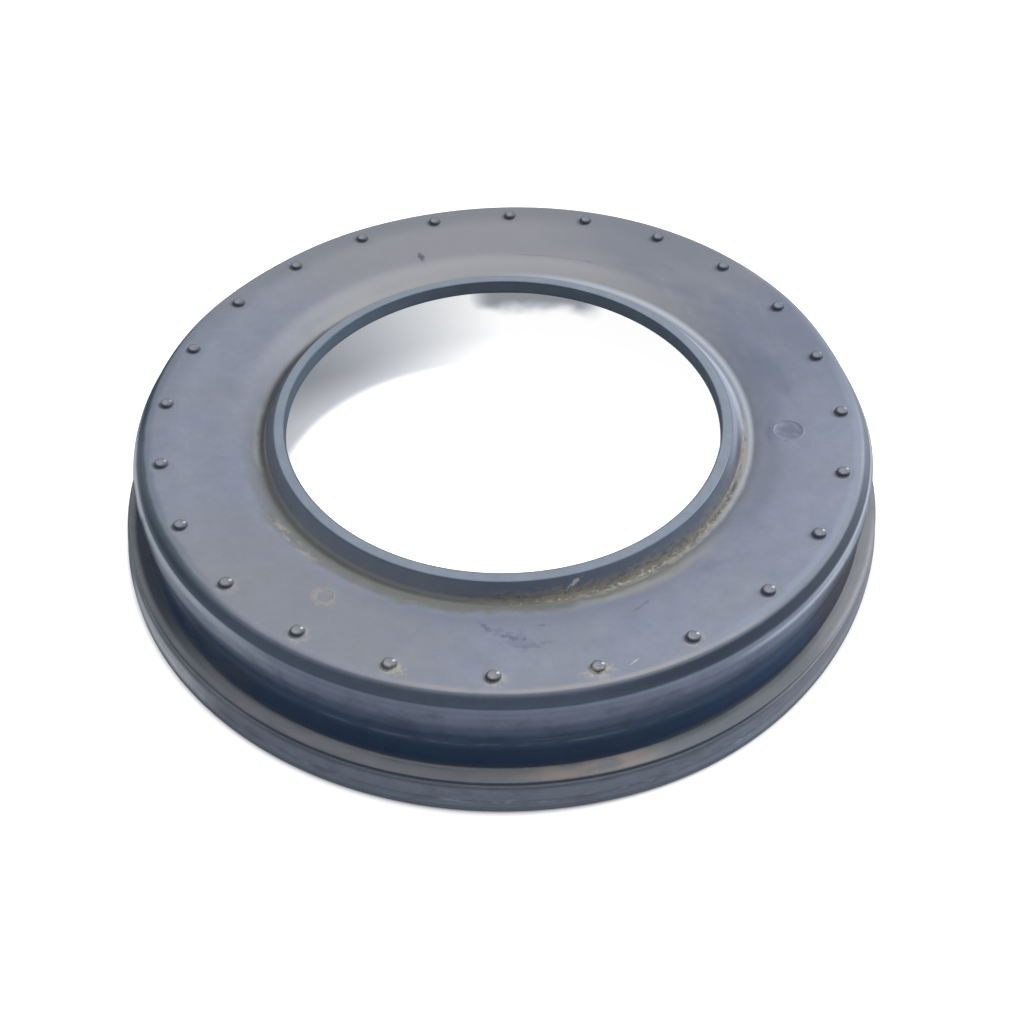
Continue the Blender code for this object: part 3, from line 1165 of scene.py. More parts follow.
@dataclass(frozen=True)
class BloomedRubber:
    """Black-blue rubber, compression moulded, whose bloom and shop dust have greyed its upper side.

    The mould left it satin, so it shows soft wide highlights on its bends. Bloom makes the web pale and
    even. Dust lies tan in the groove at the lip and on the ledge, and dulls what it covers. Its tones
    also hold painted shade on steep and sheltered faces and round the nubs, and painted highlights on the
    lip, rim, shoulder, wall and nubs to either side.
    """

    top: tuple[Zone, ...] = field(default_factory=zones_of_top)
    wall: tuple[Zone, ...] = field(default_factory=zones_of_wall)
    bare_roughness: float = 0.38
    ior: float = 1.52
    specular: float = 0.35
    mottle: tuple[tuple[float, float], ...] = ((6.0, 0.94), (1.6, 0.97))
    grain: tuple[tuple[float, float], ...] = ((14.0, 0.06), (0.5, 0.007))
    clouds: tuple[Film, ...] = (
        # Large soft clouds of bloom, warm against bluish.
        Film("#7f8083", 0.30, Spot(Place.KNEE, -2.0), Spot(Place.RIM, -0.5), 4.0,
             patches=(42.0, 30.0), cover=(0.35, 0.75), roughness=0.38),
        Film("#6a7690", 0.32, Spot(Place.KNEE), Spot(Place.RIM, -0.5), 4.0,
             patches=(26.0, 18.0), cover=(0.48, 0.75), roughness=0.38),
    )
    films: tuple[Film, ...] = (
        # Warm film of bloom over the far part of the web, and bluer bare rubber beside it.
        Film("#7f7f82", 0.75, Spot(Place.KNEE, -4.0), Spot(Place.RIM), 7.0,
             patches=(70.0, 30.0), cover=(0.15, 0.5), bearing=88.0, spread=72.0),
        Film("#5f6676", 0.75, Spot(Place.KNEE, -2.0), Spot(Place.RIM, -1.0), 6.0,
             patches=(50.0, 20.0), cover=(0.2, 0.55), bearing=34.0, spread=40.0),
        Film("#60666f", 0.50, Spot(Place.NUB_INNER, 2.0), Spot(Place.RIM, 1.0), 8.0,
             patches=(80.0, 60.0), cover=(0.1, 0.5), bearing=120.0, spread=100.0),
        Film("#74767a", 0.50, Spot(Place.KNEE, 2.0), Spot(Place.RIM, -1.5), 6.0,
             patches=(60.0, 30.0), bearing=236.0, spread=36.0),
        Film("#6a6f7a", 0.55, Spot(Place.KNEE, 9.0), Spot(Place.RIM), 7.0,
             patches=(60.0, 30.0), bearing=58.0, spread=28.0),
        Film("#a3a4a6", 0.40, Spot(Place.LIP_ROOT, 1.0), Spot(Place.KNEE, 3.0), 5.0,
             patches=(50.0, 18.0), cover=(0.1, 0.5), bearing=102.0, spread=84.0),
        *(
            Film("#666c7b", 0.60, Spot(Place.KNEE), Spot(Place.KNEE, 6.0), 6.0,
                 patches=(50.0, 20.0), bearing=bearing, spread=spread)
            for bearing, spread in ((276.0, 44.0), (346.0, 26.0))
        ),
        Film("#646871", 0.45, Spot(Place.KNEE, 3.2), Spot(Place.KNEE, 3.9), 0.9,
             patches=(20.0, 3.0), cover=(0.3, 0.6), bearing=80.0, spread=16.0, wander=0.5),
        # Olive dust in the groove at the lip, with paler crusts at its outer edge.
        Film("#5f625d", 0.92, Spot(Place.LIP_ROOT, -1.4), Spot(Place.KNEE, -1.6), 5.0,
             patches=(16.0, 6.0), cover=(0.15, 0.45), bearing=258.0, spread=78.0, roughness=0.85,
             wander=3.0),
        Film("#5f625d", 0.60, Spot(Place.KNEE, -3.4), Spot(Place.KNEE, 0.6), 3.0,
             patches=(16.0, 6.0), bearing=232.0, spread=28.0, roughness=0.85, wander=1.5),
        Film("#4c4c49", 0.85, Spot(Place.LIP_ROOT, -1.6), Spot(Place.LIP_ROOT, 1.6), 2.4,
             patches=(12.0, 4.0), bearing=262.0, spread=78.0),
        Film("#6e685b", 0.55, Spot(Place.LIP_ROOT, -3.8), Spot(Place.LIP_ROOT, 1.2), 2.4,
             patches=(4.0, 1.5), cover=(0.36, 0.62), bearing=304.0, spread=48.0, roughness=0.85,
             wander=1.2),
        Film("#34373b", 0.50, Spot(Place.LIP_ROOT, -3.6), Spot(Place.LIP_ROOT, 0.6), 2.0,
             patches=(2.6, 0.9), cover=(0.52, 0.66), bearing=300.0, spread=52.0, roughness=0.85,
             wander=1.2),
        Film("#8a8e82", 0.65, Spot(Place.LIP_ROOT, 1.4), Spot(Place.LIP_ROOT, 3.2), 1.6,
             patches=(14.0, 4.0), cover=(0.25, 0.55), bearing=187.0, spread=18.0, wander=0.6),
        Film("#99968a", 0.50, Spot(Place.LIP_ROOT, 5.0), Spot(Place.KNEE, 1.0), 3.0,
             patches=(30.0, 10.0), cover=(0.2, 0.6), bearing=303.0, spread=20.0, roughness=0.85,
             wander=1.5),
        Film("#9c948c", 0.70, Spot(Place.LIP_ROOT, 4.6), Spot(Place.LIP_ROOT, 8.0), 2.4,
             patches=(5.0, 3.0), cover=(0.42, 0.6), bearing=223.0, spread=9.0),
        Film("#9d998b", 0.65, Spot(Place.LIP_ROOT, 1.0), Spot(Place.LIP_ROOT, 3.6), 1.8,
             patches=(3.4, 1.6), cover=(0.34, 0.58), bearing=320.0, spread=44.0, roughness=0.85,
             wander=0.8),
        Film("#a9a79c", 0.50, Spot(Place.LIP_ROOT, -0.6), Spot(Place.LIP_ROOT, 2.6), 1.4,
             patches=(1.8, 1.2), cover=(0.52, 0.64), bearing=308.0, spread=46.0, wander=0.8),
        # Lip and groove: painted highlight where they face the right, paler at the near left, with bloom
        # in the far left of the groove.
        Film("#878f9f", 0.95, Spot(Place.LIP_EDGE, 0.4), Spot(Place.LIP_EDGE, 3.0), 1.4,
             bearing=17.0, spread=42.0, roughness=0.5),
        Film("#98a0b0", 0.95, Spot(Place.LIP_EDGE, 3.0), Spot(Place.LIP_ROOT, 1.0), 1.6,
             bearing=24.0, spread=34.0, roughness=0.5),
        Film("#bcc2ca", 0.90, Spot(Place.LIP_ROOT, 1.6), Spot(Place.LIP_ROOT, 3.4), 2.0,
             bearing=24.0, spread=78.0),
        Film("#a09d93", 0.60, Spot(Place.LIP_ROOT, -1.0), Spot(Place.LIP_ROOT, 1.6), 1.2,
             patches=(9.0, 2.0), cover=(0.3, 0.55), bearing=352.0, spread=14.0, wander=0.5),
        Film("#66707f", 0.45, Spot(Place.LIP_EDGE, 0.5), Spot(Place.LIP_ROOT, -0.6), 1.6,
             bearing=236.0, spread=36.0, roughness=0.5),
        Film("#959590", 0.45, Spot(Place.LIP_ROOT, 0.6), Spot(Place.LIP_ROOT, 4.4), 2.8,
             patches=(24.0, 5.0), cover=(0.3, 0.6), bearing=122.0, spread=40.0),
        # Rim: painted highlight near and to the right, painted shade on it at the near right and at the
        # left, and on the collar below at the right and left.
        Film("#98948f", 0.50, Spot(Place.RIM, -1.6), Spot(Place.RIM, -0.1), 1.2,
             patches=(26.0, 60.0), cover=(0.25, 0.6), bearing=283.0, spread=38.0, roughness=0.5,
             wander=0.3),
        Film("#818b9c", 0.70, Spot(Place.RIM, -3.4), Spot(Place.RIM, -1.2), 1.4,
             bearing=335.0, spread=44.0, roughness=0.6),
        Film("#5a6473", 0.60, Spot(Place.RIM, -1.2), Spot(Place.RIM, 0.6), 1.0,
             bearing=328.0, spread=24.0, roughness=0.7),
        Film("#2b3644", 0.85, Spot(Place.RIM, 1.0), Spot(Place.CREASE, -0.1), 0.8,
             bearing=315.0, spread=36.0, roughness=0.6, wander=0.3),
        Film("#505b69", 0.50, Spot(Place.RIM, -3.2), Spot(Place.RIM, -0.6), 2.0,
             bearing=192.0, spread=44.0, roughness=0.6, wander=0.5),
        Film("#2c3e4c", 0.90, Spot(Place.RIM, -1.1), Spot(Place.CREASE, -1.2), 1.4,
             bearing=196.0, spread=40.0, roughness=0.6, wander=0.4),
        Film("#2e404d", 0.92, Spot(Place.RIM, -0.6), Spot(Place.ROLL, 3.0), 1.2,
             bearing=172.0, spread=19.0, roughness=1.0),
        # Shoulder: painted highlight along its crest and roll to either side.
        Film("#a3adb9", 0.90, Spot(Place.CREASE, 0.15), Spot(Place.ROLL, 0.3), 1.0,
             patches=(40.0, 60.0), bearing=208.0, spread=32.0, roughness=0.4),
        Film("#a3abb6", 0.75, Spot(Place.CREASE, 0.35), Spot(Place.CREASE, 1.05), 0.7,
             patches=(40.0, 60.0), bearing=343.0, spread=28.0, roughness=0.4),
        Film("#b0b9c6", 0.60, Spot(Place.ROLL, -0.6), Spot(Place.ROLL, 0.8), 0.8,
             bearing=320.0, spread=18.0, roughness=0.4),
        Film("#b4bbc3", 0.65, Spot(Place.CREASE, 0.6), Spot(Place.FLANK, -2.5), 2.0,
             patches=(22.0, 9.0), cover=(0.25, 0.55), bearing=190.0, spread=13.0, roughness=0.4,
             wander=0.8),
        Film("#a0aab9", 0.75, Spot(Place.ROLL, -0.3), Spot(Place.ROLL, 5.0), 3.5,
             patches=(26.0, 9.0), cover=(0.2, 0.55), bearing=219.0, spread=27.0, roughness=0.5,
             wander=1.0),
        # Wall: navy, with painted shade down it at the left and the right, and a painted highlight low at
        # the left.
        Film("#1c273a", 0.90, Spot(Place.ROLL, 0.4), Spot(Place.WAIST, -2.0), 3.5,
             patches=(18.0, 8.0), cover=(0.15, 0.45), bearing=200.0, spread=14.0, roughness=0.5,
             wander=1.4),
        Film("#2e3038", 0.75, Spot(Place.ROLL, 1.2), Spot(Place.WAIST, 1.0), 3.5,
             patches=(30.0, 12.0), cover=(0.15, 0.45), bearing=336.0, spread=19.0, roughness=0.6,
             wander=1.0),
        Film("#94a0ae", 0.55, Spot(Place.FLANK, 3.5), Spot(Place.WAIST, 2.0), 5.0,
             patches=(22.0, 8.0), cover=(0.25, 0.6), bearing=207.0, spread=17.0, roughness=0.6,
             wander=1.4),
        # Wall: darker patches at the near side, brown-grey dust low down to either side, and a broken
        # scuff line.
        Film("#363f4d", 0.35, Spot(Place.ROLL, 0.5), Spot(Place.WAIST, 1.0), 3.0,
             patches=(10.0, 9.0), cover=(0.45, 0.7), bearing=268.0, spread=60.0),
        Film("#343942", 0.85, Spot(Place.WALL_ROOT, -1.6), Spot(Place.WALL_ROOT, 1.8), 1.6,
             bearing=320.0, spread=32.0),
        Film("#424a53", 0.60, Spot(Place.WAIST, 0.6), Spot(Place.WALL_ROOT, -0.6), 3.0,
             patches=(14.0, 7.0), cover=(0.35, 0.65), bearing=215.0, spread=34.0),
        Film("#3c3c43", 0.85, Spot(Place.WAIST, -3.0), Spot(Place.WALL_ROOT, 0.6), 3.0,
             patches=(30.0, 10.0), bearing=338.0, spread=20.0),
        Film("#5f6c7c", 0.75, Spot(Place.WAIST, 0.7), Spot(Place.WAIST, 1.7), 0.7,
             patches=(9.0, 2.5), cover=(0.47, 0.58), bearing=264.0, spread=44.0),
        Film("#687482", 0.55, Spot(Place.WAIST, -1.5), Spot(Place.WAIST, -0.9), 0.5,
             patches=(14.0, 2.0), cover=(0.5, 0.6), bearing=288.0, spread=26.0),
        # Ledge: grey dust, rusty at one place, with painted shade at the left where the wall overhangs
        # it.
        Film("#85878a", 0.35, Spot(Place.WALL_ROOT, 0.6), Spot(Place.LEDGE_EDGE, -0.2), 1.2,
             patches=(24.0, 6.0), cover=(0.35, 0.65)),
        Film("#555b63", 0.55, Spot(Place.WALL_ROOT, 0.6), Spot(Place.LEDGE_EDGE, -0.2), 1.2,
             bearing=308.0, spread=18.0),
        Film("#252f3e", 0.90, Spot(Place.WALL_ROOT, -0.6), Spot(Place.WALL_ROOT, 3.4), 1.8,
             bearing=196.0, spread=38.0),
        Film("#948a82", 0.70, Spot(Place.WALL_ROOT, 0.6), Spot(Place.LEDGE_EDGE, -0.3), 1.6,
             patches=(9.0, 4.0), cover=(0.3, 0.6), bearing=283.0, spread=11.0),
        Film("#83868c", 0.60, Spot(Place.WALL_ROOT, 0.4), Spot(Place.LEDGE_EDGE), 1.2,
             patches=(40.0, 20.0), bearing=347.0, spread=32.0),
        Film("#a3a2a8", 0.60, Spot(Place.LEDGE_EDGE, -1.2), Spot(Place.STEP, 0.2), 1.2,
             bearing=337.0, spread=17.0, wander=0.3),
        # Bead: paler to either side, with short light dashes low down.
        Film("#7f848c", 0.50, Spot(Place.LEDGE_EDGE, 0.2), Spot(Place.BEAD_FOOT, -0.8), 1.6,
             patches=(40.0, 20.0), bearing=208.0, spread=36.0, roughness=0.6),
        Film("#c3cad2", 0.90, Spot(Place.STEP, 2.0), Spot(Place.FOOT, -0.4), 3.0,
             patches=(40.0, 20.0), cover=(0.1, 0.35), bearing=214.0, spread=17.0, roughness=0.6),
        Film("#7c7f87", 0.65, Spot(Place.LEDGE_EDGE, 0.2), Spot(Place.FOOT, 1.0), 1.6,
             patches=(40.0, 20.0), bearing=335.0, spread=32.0, roughness=0.6),
        Film("#4a525f", 0.40, Spot(Place.STEP), Spot(Place.FOOT), 1.6,
             patches=(9.0, 5.0), cover=(0.45, 0.7), bearing=268.0, spread=70.0),
        Film("#8d949e", 0.75, Spot(Place.BEAD_FOOT, -1.0), Spot(Place.BEAD_FOOT, 0.5), 0.9,
             patches=(5.0, 1.6), cover=(0.54, 0.62), bearing=272.0, spread=50.0),
    )
    blots: tuple[Blot, ...] = (
        # Nick in the far part of the web and smears beside it.
        Blot("#474d56", 0.90, 90.4, 110.7, 37.8, 3.2, 6.6, grain=1.5, ragged=0.25),
        Blot("#6a6d73", 0.55, 91.9, 61.5, 38.0, 9.0, 2.4, turn=20.0),
        Blot("#666b73", 0.50, 96.4, 54.0, 38.4, 8.0, 2.0, turn=-10.0),
        Blot("#666b73", 0.55, 87.9, 70.6, 37.6, 2.6, 2.0),
        # Bluer patches of bare rubber.
        Blot("#5c6477", 0.50, 91.0, 14.0, 37.9, 34.0, 11.0, turn=8.0, grain=12.0, roughness=0.5),
        Blot("#656c7e", 0.50, 90.0, 314.0, 37.9, 11.0, 7.0, grain=5.0, ragged=0.6, roughness=0.5),
        Blot("#656c7e", 0.55, 95.0, 273.5, 38.2, 12.0, 9.0, turn=20.0, grain=4.0, ragged=0.7,
             roughness=0.5),
        # Wavy scuffs near the middle of the near side.
        Blot("#515a6c", 0.70, 89.5, 268.0, 37.8, 1.9, 7.0, turn=41.0, grain=1.2, ragged=0.6),
        Blot("#515a6c", 0.65, 93.4, 272.5, 38.1, 11.5, 1.9, turn=-16.0, grain=1.3, ragged=0.7),
        Blot("#5a6274", 0.45, 91.6, 271.0, 38.0, 10.0, 3.0, turn=-30.0, grain=1.6, ragged=0.8),
        Blot("#5a6274", 0.40, 96.8, 276.5, 38.4, 8.0, 2.4, turn=6.0, grain=1.6, ragged=0.9),
        Blot("#5a6274", 0.65, 89.6, 278.4, 37.8, 5.0, 1.3, turn=-6.5, grain=1.2, ragged=0.7),
        Blot("#5a6274", 0.60, 90.6, 297.0, 37.9, 8.2, 1.3, turn=15.0, grain=1.3, ragged=0.7),
        # Scratches on the web and on the lip's outer side.
        Blot("#adafb2", 0.85, 109.0, 290.2, 39.5, 4.6, 0.6, turn=25.0, grain=0.8, ragged=0.3),
        Blot("#a39f98", 0.75, 74.5, 287.35, 36.2, 6.5, 0.8, turn=18.7, depth=6.0, grain=0.8,
             ragged=0.75),
        # Crumbs of dust beside two of the nubs.
        Blot("#9b988b", 0.70, 109.2, 284.6, 39.4, 10.0, 3.6, turn=4.0, grain=1.0, ragged=0.9),
        Blot("#9b988b", 0.55, 109.6, 256.0, 39.4, 6.0, 3.4, turn=4.0, grain=1.0, ragged=0.9),
        # Dust caught round one moulding mark, and a darker patch over the other.
        Blot("#8f8a80", 0.60, 93.1, 238.6, 38.1, 7.8, 7.4, ragged=0.25, roughness=0.8, hollow=True),
        Blot("#4f5868", 0.50, 90.6, 355.3, 37.9, 10.4, 10.0, grain=2.0, ragged=0.4, roughness=0.5),
    )

    halos: tuple[Halo, ...] = (
        # Crumbs of dust near the nubs at the near side, and a painted shadow on one side of each.
        Halo("#999a92", 0.85, 0.0, 4.4, (0.4, -1.1), patches=(1.6, 1.4), cover=(0.42, 0.56),
             bearing=265.0, spread=56.0, roughness=0.85),
        Halo("#333a46", 0.75, 0.8, 0.85, (-0.3, -0.5)),
        # Tops rubbed smooth, painted shade in the fillet at their foot, and a painted glint on one side
        # of each top.
        Halo("#7b7f87", 0.90, 0.0, 2.0, roughness=0.2),
        Halo("#333a46", 0.55, 1.0, 0.32),
        Halo("#d6dadd", 0.80, 0.0, 0.6, (1.2, 0.45), bearing=275.0, spread=150.0, roughness=0.16),
    )

    def material(self, section: Section, nubs: NubRing) -> bpy.types.Material:
        """Make the material.

        Args:
            section: Section that its zones and films follow.
            nubs: Ring of nubs that holds back dust.

        Returns:
            The material, on the mesh's own attributes moulded_at and station.
        """
        made = bpy.data.materials.new("compression_moulded_rubber_with_bloom")
        made.use_nodes = True
        tree = made.node_tree
        shader = tree.nodes["Principled BSDF"]
        coat = WeatheringAndPaintedLight(tree, section, self.bare_roughness)
        coat.lay_ground((self.top, self.wall))
        for film in self.clouds:
            coat.lay_film(film)
        for size, darkest in self.mottle:
            coat.mottle(size, darkest)
        for film in self.films:
            coat.lay_film(film)
        coat.lay_halos(self.halos, nubs)
        for blot in self.blots:
            coat.lay_blot(blot)
        tree.links.new(coat.colour, shader.inputs["Base Color"])
        tree.links.new(coat.roughness, shader.inputs["Roughness"])
        tree.links.new(self.normal(coat), shader.inputs["Normal"])
        shader.inputs["IOR"].default_value = self.ior
        shader.inputs["Specular IOR Level"].default_value = self.specular
        return made

    def normal(self, coat: WeatheringAndPaintedLight) -> bpy.types.NodeSocket:
        """Lay the satin mould grain over slight waves in the skin.

        Args:
            coat: Shader tree so far.

        Returns:
            The normal.
        """
        normal = None
        for size, depth in self.grain:
            noise = add_node(
                coat.tree, "ShaderNodeTexNoise",
                inputs={
                    "Vector": coat.place, "Scale": 1 / (size * MM), "Detail": 2.0, "Roughness": 0.5,
                },
            )
            inputs = {"Height": noise, "Strength": 1.0, "Distance": depth * MM}
            if normal is not None:
                inputs["Normal"] = normal
            normal = add_node(coat.tree, "ShaderNodeBump", inputs=inputs)
        return normal


@dataclass(frozen=True)
class FloorPaint:
    """Matt white paint, rolled on a smooth floor, without gloss, so only shade marks it.

    Its own glow, for the camera alone, keeps the backdrop white. The glow is dimmed as painted shade
    close round the bead and under the web, outside a disc of painted light under the bore. Glossy rays
    see a painted reflection in place of the floor, brightest to the back right and back left.
    """

    paint: str = "#d2d2d4"
    painted_shade_tint: str = "#e2eaf6"
    painted_shade_glow: float = 0.2
    bore_glow: float = 0.97
    painted_sheen: tuple[float, float] = (0.12, 0.85)
    # Name, distances from the axis where the share starts and is full, and its lowest value.
    rises: tuple[tuple[str, float, float, float], ...] = (
        ("around", 130.0, 300.0, 0.74),
        # beside dims the glow in a narrow line round the bead: a painted contact shadow.
        ("beside", 124.5, 127.5, 0.3),
        ("under", 122.0, 114.0, 0.0),
        ("clear", 130.0, 165.0, 0.0),
    )
    painted_light_offset: float = -9.0
    painted_light_edge: tuple[float, float] = (66.0, 71.5)
    painted_bead_shade: tuple[float, float] = (100.0, 112.0)
    streak_size: float = 16.0
    streak_reach: float = 3.0

    def material(self) -> bpy.types.Material:
        """Make the material.

        Returns:
            The material, on Object coordinates.
        """
        made = bpy.data.materials.new("matt_floor_paint")
        made.use_nodes = True
        tree = made.node_tree
        tree.nodes.clear()
        place = add_node(tree, "ShaderNodeTexCoord", output="Object")
        far = add_node(tree, "ShaderNodeVectorMath", {"operation": "LENGTH"}, {0: place}, "Value")
        heading = add_node(tree, "ShaderNodeVectorMath", {"operation": "NORMALIZE"}, {0: place})
        rise = {
            name: add_node(
                tree, "ShaderNodeMapRange", {"interpolation_type": "SMOOTHSTEP"},
                {"Value": far, "From Min": start * MM, "From Max": end * MM, "To Min": low},
            )
            for name, start, end, low in self.rises
        }
        outside = add_node(
            tree, "ShaderNodeMath", {"operation": "MULTIPLY"}, {0: rise["around"], 1: rise["beside"]}
        )
        open_glow = add_node(
            tree, "ShaderNodeMix", {"data_type": "FLOAT"},
            {0: rise["under"], 2: outside, 3: self.bore_glow},
        )
        painted_shade = add_node(
            tree, "ShaderNodeMath", {"operation": "MULTIPLY"},
            {0: self.shade(tree, place, heading, far), 1: rise["under"]},
        )
        glow = add_node(
            tree, "ShaderNodeMix", {"data_type": "FLOAT"}, {0: painted_shade, 2: open_glow, 3: self.painted_shade_glow}
        )
        tint = add_node(
            tree, "ShaderNodeMix", {"data_type": "RGBA"},
            {0: painted_shade, 6: linear("#ffffff"), 7: linear(self.painted_shade_tint)}, 2,
        )
        seen = add_node(tree, "ShaderNodeLightPath", output="Is Camera Ray")
        strength = add_node(tree, "ShaderNodeMath", {"operation": "MULTIPLY"}, {0: glow, 1: seen})
        light = add_node(tree, "ShaderNodeEmission", inputs={"Color": tint, "Strength": strength})
        paint = add_node(tree, "ShaderNodeBsdfDiffuse", inputs={"Color": linear(self.paint)})
        both = add_node(tree, "ShaderNodeAddShader", inputs={0: paint, 1: light})
        # For glossy rays the floor is a painted reflection: a glow by bearing, brightest to the back
        # right and back left, in place of its white.
        lit = add_node(
            tree, "ShaderNodeMath", {"operation": "MAXIMUM"},
            {
                0: self.towards(tree, heading, 25.0, (0.2, 0.8)),
                1: self.towards(tree, heading, 150.0, (0.8, 0.92)),
            },
        )
        lit_clear = add_node(
            tree, "ShaderNodeMath", {"operation": "MULTIPLY"}, {0: lit, 1: rise["clear"]}
        )
        painted_reflection_level = add_node(
            tree, "ShaderNodeMapRange",
            inputs={"Value": lit_clear, "To Min": self.painted_sheen[0], "To Max": self.painted_sheen[1]},
        )
        painted_sheen = add_node(
            tree, "ShaderNodeEmission", inputs={"Color": linear("#ffffff"), "Strength": painted_reflection_level}
        )
        in_gloss = add_node(tree, "ShaderNodeLightPath", output="Is Glossy Ray")
        surface = add_node(tree, "ShaderNodeMixShader", inputs={0: in_gloss, 1: both, 2: painted_sheen})
        add_node(tree, "ShaderNodeOutputMaterial", inputs={"Surface": surface})
        return made

    def shade(
        self,
        tree: bpy.types.NodeTree,
        place: bpy.types.NodeSocket,
        heading: bpy.types.NodeSocket,
        far: bpy.types.NodeSocket,
    ) -> bpy.types.NodeSocket:
        """Find where painted shade lies on the floor under the web.

        It is painted outside a disc of painted light under the bore, most at the left, and close to the
        far side of the bead.

        Args:
            tree: Node tree of the paint.
            place: Object coordinates of the floor.
            heading: Their direction from the axis.
            far: Their distance from the axis.

        Returns:
            Share from 0 in the open to 1 in full shade.
        """
        from_light = add_node(
            tree, "ShaderNodeVectorMath", {"operation": "DISTANCE"},
            {0: place, 1: (self.painted_light_offset * MM, 0.0, 0.0)}, "Value",
        )
        outside = add_node(
            tree, "ShaderNodeMapRange", {"interpolation_type": "SMOOTHSTEP"},
            {
                "Value": from_light,
                "From Min": self.painted_light_edge[0] * MM,
                "From Max": self.painted_light_edge[1] * MM,
            },
        )
        painted_crescent = add_node(
            tree, "ShaderNodeMath", {"operation": "MULTIPLY"},
            {0: outside, 1: self.towards(tree, heading, 165.0, (0.3, 1.0), "LINEAR")},
        )
        streaks = add_node(
            tree, "ShaderNodeTexNoise",
            inputs={
                "Vector": place, "Scale": 1 / (self.streak_size * MM), "Detail": 2.0, "Roughness": 0.5,
            },
        )
        uneven = add_node(
            tree, "ShaderNodeMapRange",
            inputs={
                "Value": streaks, "From Min": 0.3, "From Max": 0.7,
                "To Min": -self.streak_reach * MM, "To Max": self.streak_reach * MM,
            },
        )
        strayed = add_node(tree, "ShaderNodeMath", {"operation": "ADD"}, {0: far, 1: uneven})
        painted_shade_by_bead = add_node(
            tree, "ShaderNodeMapRange", {"interpolation_type": "SMOOTHSTEP"},
            {
                "Value": strayed,
                "From Min": self.painted_bead_shade[0] * MM,
                "From Max": self.painted_bead_shade[1] * MM,
                "To Max": 0.85,
            },
        )
        painted_far_shade = add_node(
            tree, "ShaderNodeMath", {"operation": "MULTIPLY"},
            {0: painted_shade_by_bead, 1: self.towards(tree, heading, 85.0, (0.965, 0.99))},
        )
        return add_node(tree, "ShaderNodeMath", {"operation": "MAXIMUM"}, {0: painted_crescent, 1: painted_far_shade})

    def towards(
        self,
        tree: bpy.types.NodeTree,
        heading: bpy.types.NodeSocket,
        bearing: float,
        cosines: tuple[float, float],
        ease: str = "SMOOTHSTEP",
    ) -> bpy.types.NodeSocket:
        """Make a share that grows over the floor towards one bearing.

        Args:
            tree: Node tree of the paint.
            heading: Direction from the axis.
            bearing: Bearing where the share is full.
            cosines: Cosines of the angles from it where the share starts and is full.
            ease: How it grows between the two.

        Returns:
            The share.
        """
        return add_node(
            tree, "ShaderNodeMapRange", {"interpolation_type": ease},
            {
                "Value": facing(tree, heading, bearing),
                "From Min": cosines[0],
                "From Max": cosines[1],
            },
        )


@dataclass(frozen=True)
class Softbox:
    """A soft rectangular light that faces the object from a bearing and a rise over the floor."""

    name: str
    bearing: float
    rise: float
    distance: float
    width: float
    height: float
    watts: float

    def hang(self) -> None:
        """Hang the light in the studio."""
        lamp = bpy.data.lights.new(self.name, "AREA")
        lamp.shape = "RECTANGLE"
        lamp.size, lamp.size_y = self.width * MM, self.height * MM
        lamp.energy = self.watts
        holder = bpy.data.objects.new(self.name, lamp)
        bpy.context.collection.objects.link(holder)
        around, up = math.radians(self.bearing), math.radians(self.rise)
        away = Vector((
            math.cos(up) * math.cos(around), math.cos(up) * math.sin(around), math.sin(up)
        ))
        holder.location = away * self.distance * MM
        holder.rotation_euler = away.to_track_quat("Z", "Y").to_euler()


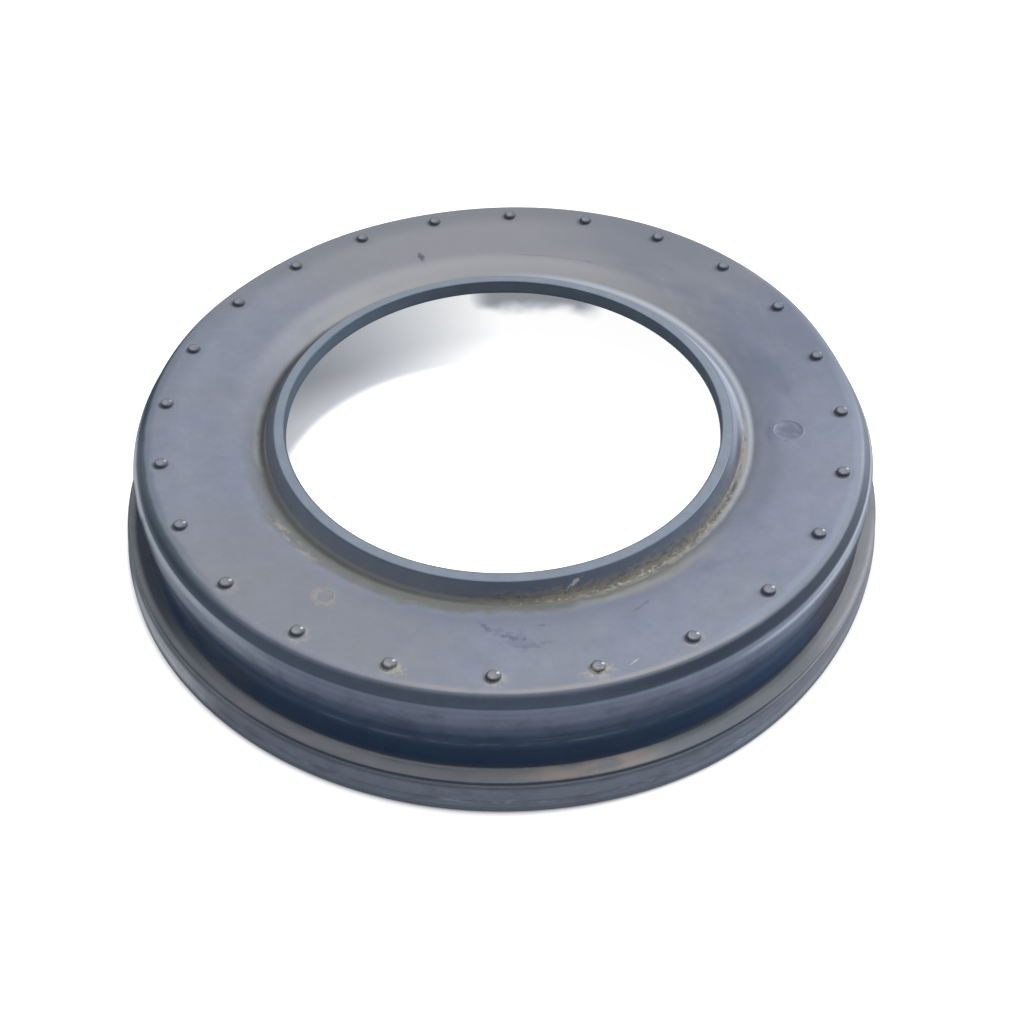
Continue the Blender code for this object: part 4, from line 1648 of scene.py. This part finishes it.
@dataclass
class Studio:
    """Plain pale floor, soft lights and the camera at the photograph's viewing angle.

    The camera aims at the axis, at the height of the ring of nubs, and stands off to the side of that
    line by the amounts aside and below.
    """

    floor_side: float = 8000.0
    paint: FloorPaint = field(default_factory=FloorPaint)
    lens: float = 48.70
    sensor: float = 36.0
    distance: float = 442.91
    pitch: float = 45.44
    heading: float = 1.22
    roll: float = -0.14
    aside: float = 2.82
    below: float = 33.70
    ring_height: float = 40.0
    air_light: float = 0.2
    softboxes: tuple[Softbox, ...] = (
        Softbox("overhead_softbox", 275.0, 82.0, 1500.0, 1300.0, 1000.0, 17.0),
        Softbox("back_left_softbox", 152.0, 20.0, 1300.0, 500.0, 300.0, 3.0),
        Softbox("back_right_softbox", 22.0, 34.0, 1300.0, 500.0, 450.0, 14.0),
    )

    def lay_floor(self) -> None:
        """Lay the floor, which the camera sees as white apart from the object's shadow, much of it
        painted shade.
        """
        maker = bmesh.new()
        bmesh.ops.create_grid(maker, x_segments=1, y_segments=1, size=self.floor_side / 2 * MM)
        mesh = bpy.data.meshes.new("studio_floor")
        maker.to_mesh(mesh)
        maker.free()
        floor = bpy.data.objects.new("studio_floor", mesh)
        bpy.context.collection.objects.link(floor)
        mesh.materials.append(self.paint.material())

    def fill_air(self) -> None:
        """Set the even light from all round, which the camera sees as white."""
        world = bpy.data.worlds.new("studio_air")
        bpy.context.scene.world = world
        world.use_nodes = True
        tree = world.node_tree
        tree.nodes.clear()
        seen = add_node(tree, "ShaderNodeLightPath", output="Is Camera Ray")
        strength = add_node(
            tree, "ShaderNodeMapRange", inputs={"Value": seen, "To Min": self.air_light, "To Max": 1.0}
        )
        air = add_node(
            tree, "ShaderNodeBackground", inputs={"Color": linear("#ffffff"), "Strength": strength}
        )
        add_node(tree, "ShaderNodeOutputWorld", inputs={"Surface": air})

    def set_camera(self) -> None:
        """Set the camera at the photograph's viewing angle."""
        lens = bpy.data.cameras.new("photo_camera")
        lens.lens, lens.sensor_width = self.lens, self.sensor
        camera = bpy.data.objects.new("photo_camera", lens)
        bpy.context.collection.objects.link(camera)
        aim = Matrix.Translation((0.0, 0.0, self.ring_height * MM))
        heading = Matrix.Rotation(math.radians(self.heading), 4, "Z")
        pitch = Matrix.Rotation(math.radians(90.0 - self.pitch), 4, "X")
        roll = Matrix.Rotation(math.radians(self.roll), 4, "Z")
        stand = Matrix.Translation(Vector((self.aside, -self.below, self.distance)) * MM)
        camera.matrix_world = aim @ heading @ pitch @ roll @ stand
        bpy.context.scene.camera = camera

    def build(self) -> None:
        """Set the camera, the floor and the lights."""
        self.set_camera()
        self.lay_floor()
        self.fill_air()
        for softbox in self.softboxes:
            softbox.hang()


def main() -> None:
    """Build the moulding and the studio, and report each piece."""
    logging.basicConfig(level=logging.INFO, format="%(name)s: %(message)s")
    bpy.context.scene.view_settings.view_transform = "Standard"
    diaphragm = Diaphragm()
    moulding = diaphragm.build()
    moulding.data.materials.append(BloomedRubber().material(diaphragm.section, diaphragm.nubs))
    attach(moulding, "root")
    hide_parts("diaphragm")
    log.info("%s: %d faces", moulding.name, len(moulding.data.polygons))
    Studio().build()


if __name__ == "__main__":
    main()
